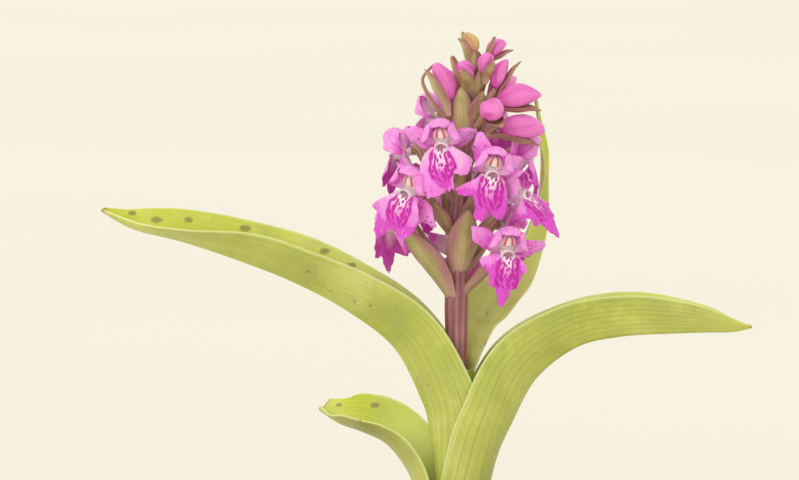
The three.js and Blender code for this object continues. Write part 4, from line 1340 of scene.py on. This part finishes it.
# Half an outline of a lip, as degrees from straight down and length: lobe, notch, toothed side lobe
LIP = [
    [0, 11.6], [5, 11.2], [10, 10.2], [15, 9.0], [20, 7.8], [25, 7.5], [31, 8.6], [38, 9.5],
    [46, 9.2], [54, 9.6], [62, 9.3], [70, 8.0], [80, 5.8], [92, 4.0], [106, 2.8],
]
# The five flowers that face forwards have lips of their own, from left to right
OWN_LIPS = {
    "bloom_01": [
        [-106, 2.4], [-90, 3.2], [-76, 4.4], [-64, 5.6], [-53, 6.9], [-42, 8.6], [-33, 9.6],
        [-24, 11.0], [-18, 12.3], [-10, 11.3], [0, 10.6], [9, 10.2], [16, 10.0], [20, 7.8],
        [26, 6.6], [34, 7.2], [43, 8.9], [54, 8.7], [66, 8.0], [76, 6.2], [86, 4.2], [104, 2.6],
    ],
    "bloom_02": [
        [-104, 2.6], [-88, 3.2], [-76, 4.4], [-69, 6.7], [-64, 9.6], [-58, 9.3], [-50, 8.6],
        [-43, 7.2], [-36, 6.6], [-26, 7.8], [-18, 10.5], [-11, 11.0], [-5, 10.8], [0, 9.9],
        [4, 8.8], [9, 9.3], [15, 10.0], [22, 10.1], [32, 8.6], [43, 6.6], [58, 4.6], [80, 3.2],
        [100, 2.4],
    ],
    "bloom_03": [
        [-100, 2.6], [-84, 3.6], [-72, 5.4], [-64, 8.2], [-59, 11.2], [-53, 10.8], [-48, 9.2],
        [-41, 9.6], [-34, 11.4], [-26, 12.4], [-18, 12.0], [-11, 9.8], [-4, 8.6], [4, 9.4],
        [12, 10.5], [23, 10.0], [34, 8.8], [46, 7.2], [60, 5.4], [80, 3.8], [100, 2.6],
    ],
    "bloom_05": [
        [-106, 2.6], [-90, 4.0], [-76, 6.0], [-64, 7.6], [-54, 7.0], [-46, 7.4], [-36, 8.8],
        [-27, 8.4], [-19, 7.4], [-12, 9.4], [-6, 12.0], [0, 13.0], [6, 11.4], [12, 8.8], [20, 8.2],
        [28, 9.4], [37, 10.4], [46, 8.6], [54, 8.0], [62, 9.6], [72, 8.2], [86, 5.0], [104, 2.6],
    ],
    "bloom_04": [
        [-104, 2.8], [-92, 4.2], [-84, 6.4], [-74, 6.9], [-62, 6.6], [-50, 6.2], [-40, 6.8],
        [-31, 8.2], [-25, 8.0], [-19, 8.0], [-13, 9.6], [-6, 12.0], [-2, 12.0], [4, 9.8], [9, 7.8],
        [18, 7.6], [28, 6.8], [40, 6.0], [54, 6.0], [66, 5.4], [78, 4.0], [92, 3.0], [104, 2.4],
    ],
}


def mirrored(rib):
    """The same rib on the flower's other side."""
    return [[-x, y, z, half, cup, fold, -roll] for x, y, z, half, cup, fold, roll in rib]


# %% Lip, rods and cup
def tube(points, places, sides, under):
    """Rings of points closed into a tube, with a flat face at each end."""
    last = len(points) - sides
    faces = []
    for k in range(last // sides):
        for j in range(sides):
            a, b = k * sides + j, k * sides + (j + 1) % sides
            faces.append((a, b, b + sides, a + sides))
    faces += [tuple(reversed(range(sides))), tuple(range(last, last + sides))]
    return {"points": points, "faces": faces, "place": places, "under": [under] * len(points)}


HALF_SPOKES = 42
LIP_ROWS = 26
LIP_THICK_MM = 0.6


def lip_outline(name, number):
    """The spokes of a lip: its own, or the common half twice with a little chance in it."""
    if name in OWN_LIPS:
        return [along(OWN_LIPS[name], k / (2 * HALF_SPOKES)) for k in range(2 * HALF_SPOKES + 1)]
    half = [along(LIP, k / HALF_SPOKES) for k in range(HALF_SPOKES + 1)]
    spokes = [[-a, length] for a, length in reversed(half[1:])] + half
    return [[a, length * (1 + 0.07 * math.sin(a * 0.09 + number * 2.1))] for a, length in spokes]


def lip_part(name, spread, number):
    """The lip as a fan: rows go out from the mouth, columns follow the outline."""
    spokes = lip_outline(name, number)
    wide = 1.0 if name in OWN_LIPS else spread
    inner, outer, places = [], [], []
    rows = LIP_ROWS
    for r in range(rows + 1):
        share = r / rows
        rows_here = ([], [], [])
        for k, (angle, length) in enumerate(spokes):
            teeth = 0.02 * math.sin(angle * 0.9 + number) + 0.015 * math.sin(angle * 2.3)
            ragged = 1 + share**4 * teeth
            reach = max(share * length * ragged, 0.35)
            x = reach * math.sin(math.radians(angle)) * wide
            z = -0.6 - reach * math.cos(math.radians(angle))
            down = min(max(-z, 0) / 8, 1)
            y = -2.0 - 2.0 * math.sin(down * math.pi / 2) + (0.075 - 0.04 * spread) * x * x
            y += share**3 * (0.5 * math.sin(angle * 0.13 + number) + 0.26 * math.sin(angle * 0.31))
            y -= 0.4 * math.exp(-((x / 0.9) ** 2)) * share * (1 - share) * 2
            y += 0.5 * share**2 * max(abs(angle) / 60 - 0.4, 0)
            wall = LIP_THICK_MM * (1 - 0.6 * share**6)
            rows_here[0].append(Vector((x, y, z)))
            rows_here[1].append(Vector((x, y + wall, z)))
            rows_here[2].append((x / wide, -z, share))
        inner.append(rows_here[0])
        outer.append(rows_here[1])
        places.append(rows_here[2])
    return sheet(inner, outer, places)


def rod_part(stations, sides, steps, stretch=1.0):
    """A closed round rod with rounded ends, wider from side to side where stretch is over 1."""
    points, places = [], []
    for k in range(steps + 1):
        t = k / steps
        x, y, z, radius = along(stations, t)
        radius *= math.sqrt(max(1 - max(abs(2 * t - 1) - 0.75, 0) ** 2 / 0.0725, 0.02))
        forward = heading(stations, t)
        steep = abs(forward.z) > 0.8
        u = (Vector((0, -1, 0)) if steep else UP).cross(forward).normalized()
        v = forward.cross(u)
        for j in range(sides):
            angle = 2 * math.pi * (j + 0.5) / sides
            place = u * radius * stretch * math.cos(angle) + v * radius * math.sin(angle)
            points.append(Vector((x, y, z)) + place)
            places.append((math.cos(angle), t * 0.5, 0))
    return tube(points, places, sides, 0.0)


def cup_part(foot, front, outline, sides):
    """A turned cup about the line from foot to front. Its outline is (share of it, radius)."""
    foot, front = Vector(foot), Vector(front)
    forward = (front - foot).normalized()
    u = UP.cross(forward).normalized()
    v = forward.cross(u)
    points, places = [], []
    for k, (share, radius) in enumerate(outline):
        for j in range(sides):
            angle = 2 * math.pi * j / sides
            place = u * radius * math.cos(angle) + v * radius * 0.86 * math.sin(angle)
            points.append(foot.lerp(front, share) + place)
            places.append((math.cos(angle), k / (len(outline) - 1), 0))
    return tube(points, places, sides, 0.0)


# %% One flower
SPUR = [[0, 0.4, -0.4, 1.5], [0, 2.0, -2.8, 1.3], [0, 3.4, -5.4, 1.0], [0, 4.0, -7.8, 0.6]]
COLLAR = [
    (0, 0.9), (0.2, 1.4), (0.45, 1.7), (0.7, 1.76), (0.9, 1.74), (0.98, 1.66), (1.0, 1.54),
    (0.97, 1.42), (0.9, 1.2), (0.84, 0.9), (0.82, 0.5),
]
COLUMN = [[0, 1.4, 1.4, 1.3], [0, 0.3, 2.6, 1.45], [0, -0.6, 4.0, 1.15], [0, -1.0, 4.8, 0.6]]
COLUMN_STRETCH = 1.5
PETAL_THICK_MM = 0.45
PETAL_MESH = (22, 34)


def petal_part(rib, side, number, held=None):
    """A petal with a slight ruffle along both margins. Held says how it is swung from its rib."""

    def ruffle(u, t):
        wave = 0.34 * math.sin(9 * t + number + 2 * u) + 0.16 * math.sin(21 * t + 2 * number)
        return wave * abs(u) ** 3

    def widen(u, t):
        broad = math.sin(7 * t + number + (2 if u > 0 else 0))
        return 1 + 0.08 * (broad + 0.5 * math.sin(17 * t + 2 * number))

    part = blade(rib, side, PETAL_THICK_MM, *PETAL_MESH, ruffle, widen)
    if held:
        part["points"] = [held @ p for p in part["points"]]
    part["material"] = petal_finish
    return part


def wing_held(raise_by, swing, sign):
    """Swings a sepal about the upright, then raises it about the flower's own axis."""
    raised = Matrix.Rotation(math.radians(-sign * raise_by), 4, "Y")
    return raised @ Matrix.Rotation(math.radians(sign * swing), 4, "Z")


# How deep the colour of a lip is, from 0 for pale to 1
LIP_DEPTHS = {"bloom_01": 0.2, "bloom_02": 0.9, "bloom_03": 0.5, "bloom_04": 1.0, "bloom_05": 1.0}


def bloom_parts(name, number, spread, left, right):
    """All parts of one flower in its own millimetres."""
    parts = [
        petal_part(HOOD, (-1, 0, 0), number),
        petal_part(CHEEK, (-0.4, -0.3, 1), number + 1),
        petal_part(mirrored(CHEEK), (-0.4, 0.3, -1), number + 2),
        petal_part(WING, (0.5, 0.2, -1), number + 3, wing_held(*right, 1)),
        petal_part(mirrored(WING), (0.5, -0.2, 1), number + 4, wing_held(*left, -1)),
    ]
    parts[3]["kind"] = parts[4]["kind"] = 1.0
    lip = lip_part(name, spread, number)
    lip["material"] = lip_finish
    lip["kind"] = LIP_DEPTHS.get(name, 0.5 + 0.5 * chance(number))
    spur = rod_part(SPUR, 16, 20)
    spur["material"] = petal_finish
    collar = cup_part((0, 3.8, 0.6), (0, -2.5, -0.3), COLLAR, 28)
    column = rod_part(COLUMN, 20, 16, COLUMN_STRETCH)
    column["kind"] = 1.0
    collar["material"] = column["material"] = throat_finish
    return parts + [lip, spur, collar, column]


# %% Fourteen flowers shown
for number, (name, facts) in enumerate(BLOOMS.items()):
    mouth, turn, nod, lean, size, spread, left, right = facts
    parts = bloom_parts(name, number, spread, left, right)
    for part in parts:
        part["matrix"] = bloom_matrix(mouth, turn, nod, lean, size)
    show(join_parts(name + "_flower", parts), "petal", name)

# %% [markdown]
# ## Buds
# A bud is its flower folded up: the sepals meet along seams. Each is a round body with shallow
# seams and folds along it, fuller on its back than on its front. Some end bluntly and some in a
# point, and the youngest is still golden.
# %% Buds shown
YOUNGEST = "bud_08"
# Places in the table of the buds that end in a point
POINTED = (1, 4, 9, 10, 11)
# Lower is blunter
POINTED_POWER = 0.85
BLUNT_POWER = 0.55
BUD_MESH = (40, 36)


def bud_part(middle, towards, rise, length, girth, number):
    """A closed bud that points along its heading."""
    forward = bud_heading(towards, rise)
    u = UP.cross(forward).normalized()
    v = forward.cross(u)
    points, places = [], []
    rows, sides = BUD_MESH
    slim = POINTED_POWER if number in POINTED else BLUNT_POWER
    for r in range(rows + 1):
        t = r / rows
        fat = max(math.sin(math.pi * (0.1 + 0.88 * t**0.9)), 0.0) ** slim if r < rows else 0.05
        fat = max(fat, 0.05)
        for j in range(sides):
            angle = 2 * math.pi * j / sides
            twist = angle + number * 1.3 + 0.9 * t
            seam = 0.17 * abs(math.cos(1.5 * twist)) ** 14
            folds = 0.035 * math.sin(7 * angle + 3 * t + number) * t
            folds += 0.03 * math.sin(4 * angle - 5 * t)
            radius = girth / 2 * fat * (1 - seam + folds) * (1 + 0.08 * math.sin(angle))
            bow = v * 0.5 * math.sin(math.pi * t)
            point = Vector(middle) + forward * length * (t - 0.5) + bow
            points.append(point + (u * math.cos(angle) + v * math.sin(angle)) * radius)
            places.append((math.cos(1.5 * twist), t, 0))
    return tube(points, places, sides, 1.0)


for number, (name, facts) in enumerate(BUDS.items()):
    part = bud_part(*facts, number)
    part["material"] = young_finish if name == YOUNGEST else bud_finish
    show(join_parts(name + "_closed", [part]), "bud_skin", name)

# %% [markdown]
# ## Floor, light and camera
# The photograph is pale and soft: light comes from all round, and a plant stands before a cream
# ground. A very wide matt floor in that cream, a pale world and two soft suns give the same. The
# camera stands well back with a long lens, a little above the flowers.
# %% Floor
def make_floor():
    material, tree, shader, spot = new_material("floor_matt_cream")
    cloud = noise(tree, spot, 0.6, 2.0)
    colour = add(tree, RAMP, {"Fac": cloud}, stops=[(0.3, "#f4f1e5"), (0.7, "#f7f4e9")])
    tree.links.new(colour.outputs[0], shader.inputs["Base Color"])
    shader.inputs["Roughness"].default_value = 1.0
    shader.inputs["Specular IOR Level"].default_value = 0.0
    return material


FLOOR_RADIUS = 16.0
FLOOR_HEIGHT = -0.0004
FLOOR_SIDES = 96
angles = [k * math.pi / (FLOOR_SIDES / 2) for k in range(FLOOR_SIDES)]
rim = [(FLOOR_RADIUS * math.cos(a), FLOOR_RADIUS * math.sin(a), FLOOR_HEIGHT) for a in angles]
floor_mesh = bpy.data.meshes.new("floor")
floor_mesh.from_pydata(rim, [], [tuple(range(FLOOR_SIDES))])
floor_mesh.materials.append(make_floor())
floor = new_object("floor", floor_mesh)

# %% World and lamps
WORLD_STRENGTH = 0.83
# name, where it shines from, how many degrees wide it is, and its strength
LAMPS = (("key", (-0.6, -1.2, 0.75), 50, 0.95), ("rim", (0.8, 1.0, 0.9), 40, 0.3))
LAMP_COLOUR = (1.0, 0.995, 0.96)
world = bpy.data.worlds.new("pale_room")
bpy.context.scene.world = world
world.use_nodes = True
backdrop = world.node_tree.nodes["Background"]
backdrop.inputs["Color"].default_value = linear("#fdfaf1")
backdrop.inputs["Strength"].default_value = WORLD_STRENGTH
for name, place, wide, power in LAMPS:
    lamp = bpy.data.lights.new(name, "SUN")
    lamp.angle = math.radians(wide)
    lamp.energy = power
    lamp.color = LAMP_COLOUR
    holder = new_object(name, lamp)
    holder.location = place
    holder.rotation_euler = (-Vector(place)).to_track_quat("-Z", "Y").to_euler()
bpy.context.scene.view_settings.view_transform = "Standard"

# %% Camera
# What the camera looks at, and how wide the picture is there, in metres
AIM = Vector((-0.0146, 0, 0.175))
CAMERA_DISTANCE = 1.2
CAMERA_RISE = math.radians(4.5)
PICTURE_WIDTH = 799 * 0.25 * MM
camera_data = bpy.data.cameras.new("camera")
camera_data.lens = camera_data.sensor_width * CAMERA_DISTANCE / PICTURE_WIDTH
camera_data.clip_end = 60
camera = new_object("camera", camera_data)
back = Vector((0, -math.cos(CAMERA_RISE), math.sin(CAMERA_RISE)))
camera.location = AIM + back * CAMERA_DISTANCE
camera.rotation_euler = back.to_track_quat("Z", "Y").to_euler()
bpy.context.scene.camera = camera
print("lens:", round(camera_data.lens), "mm")
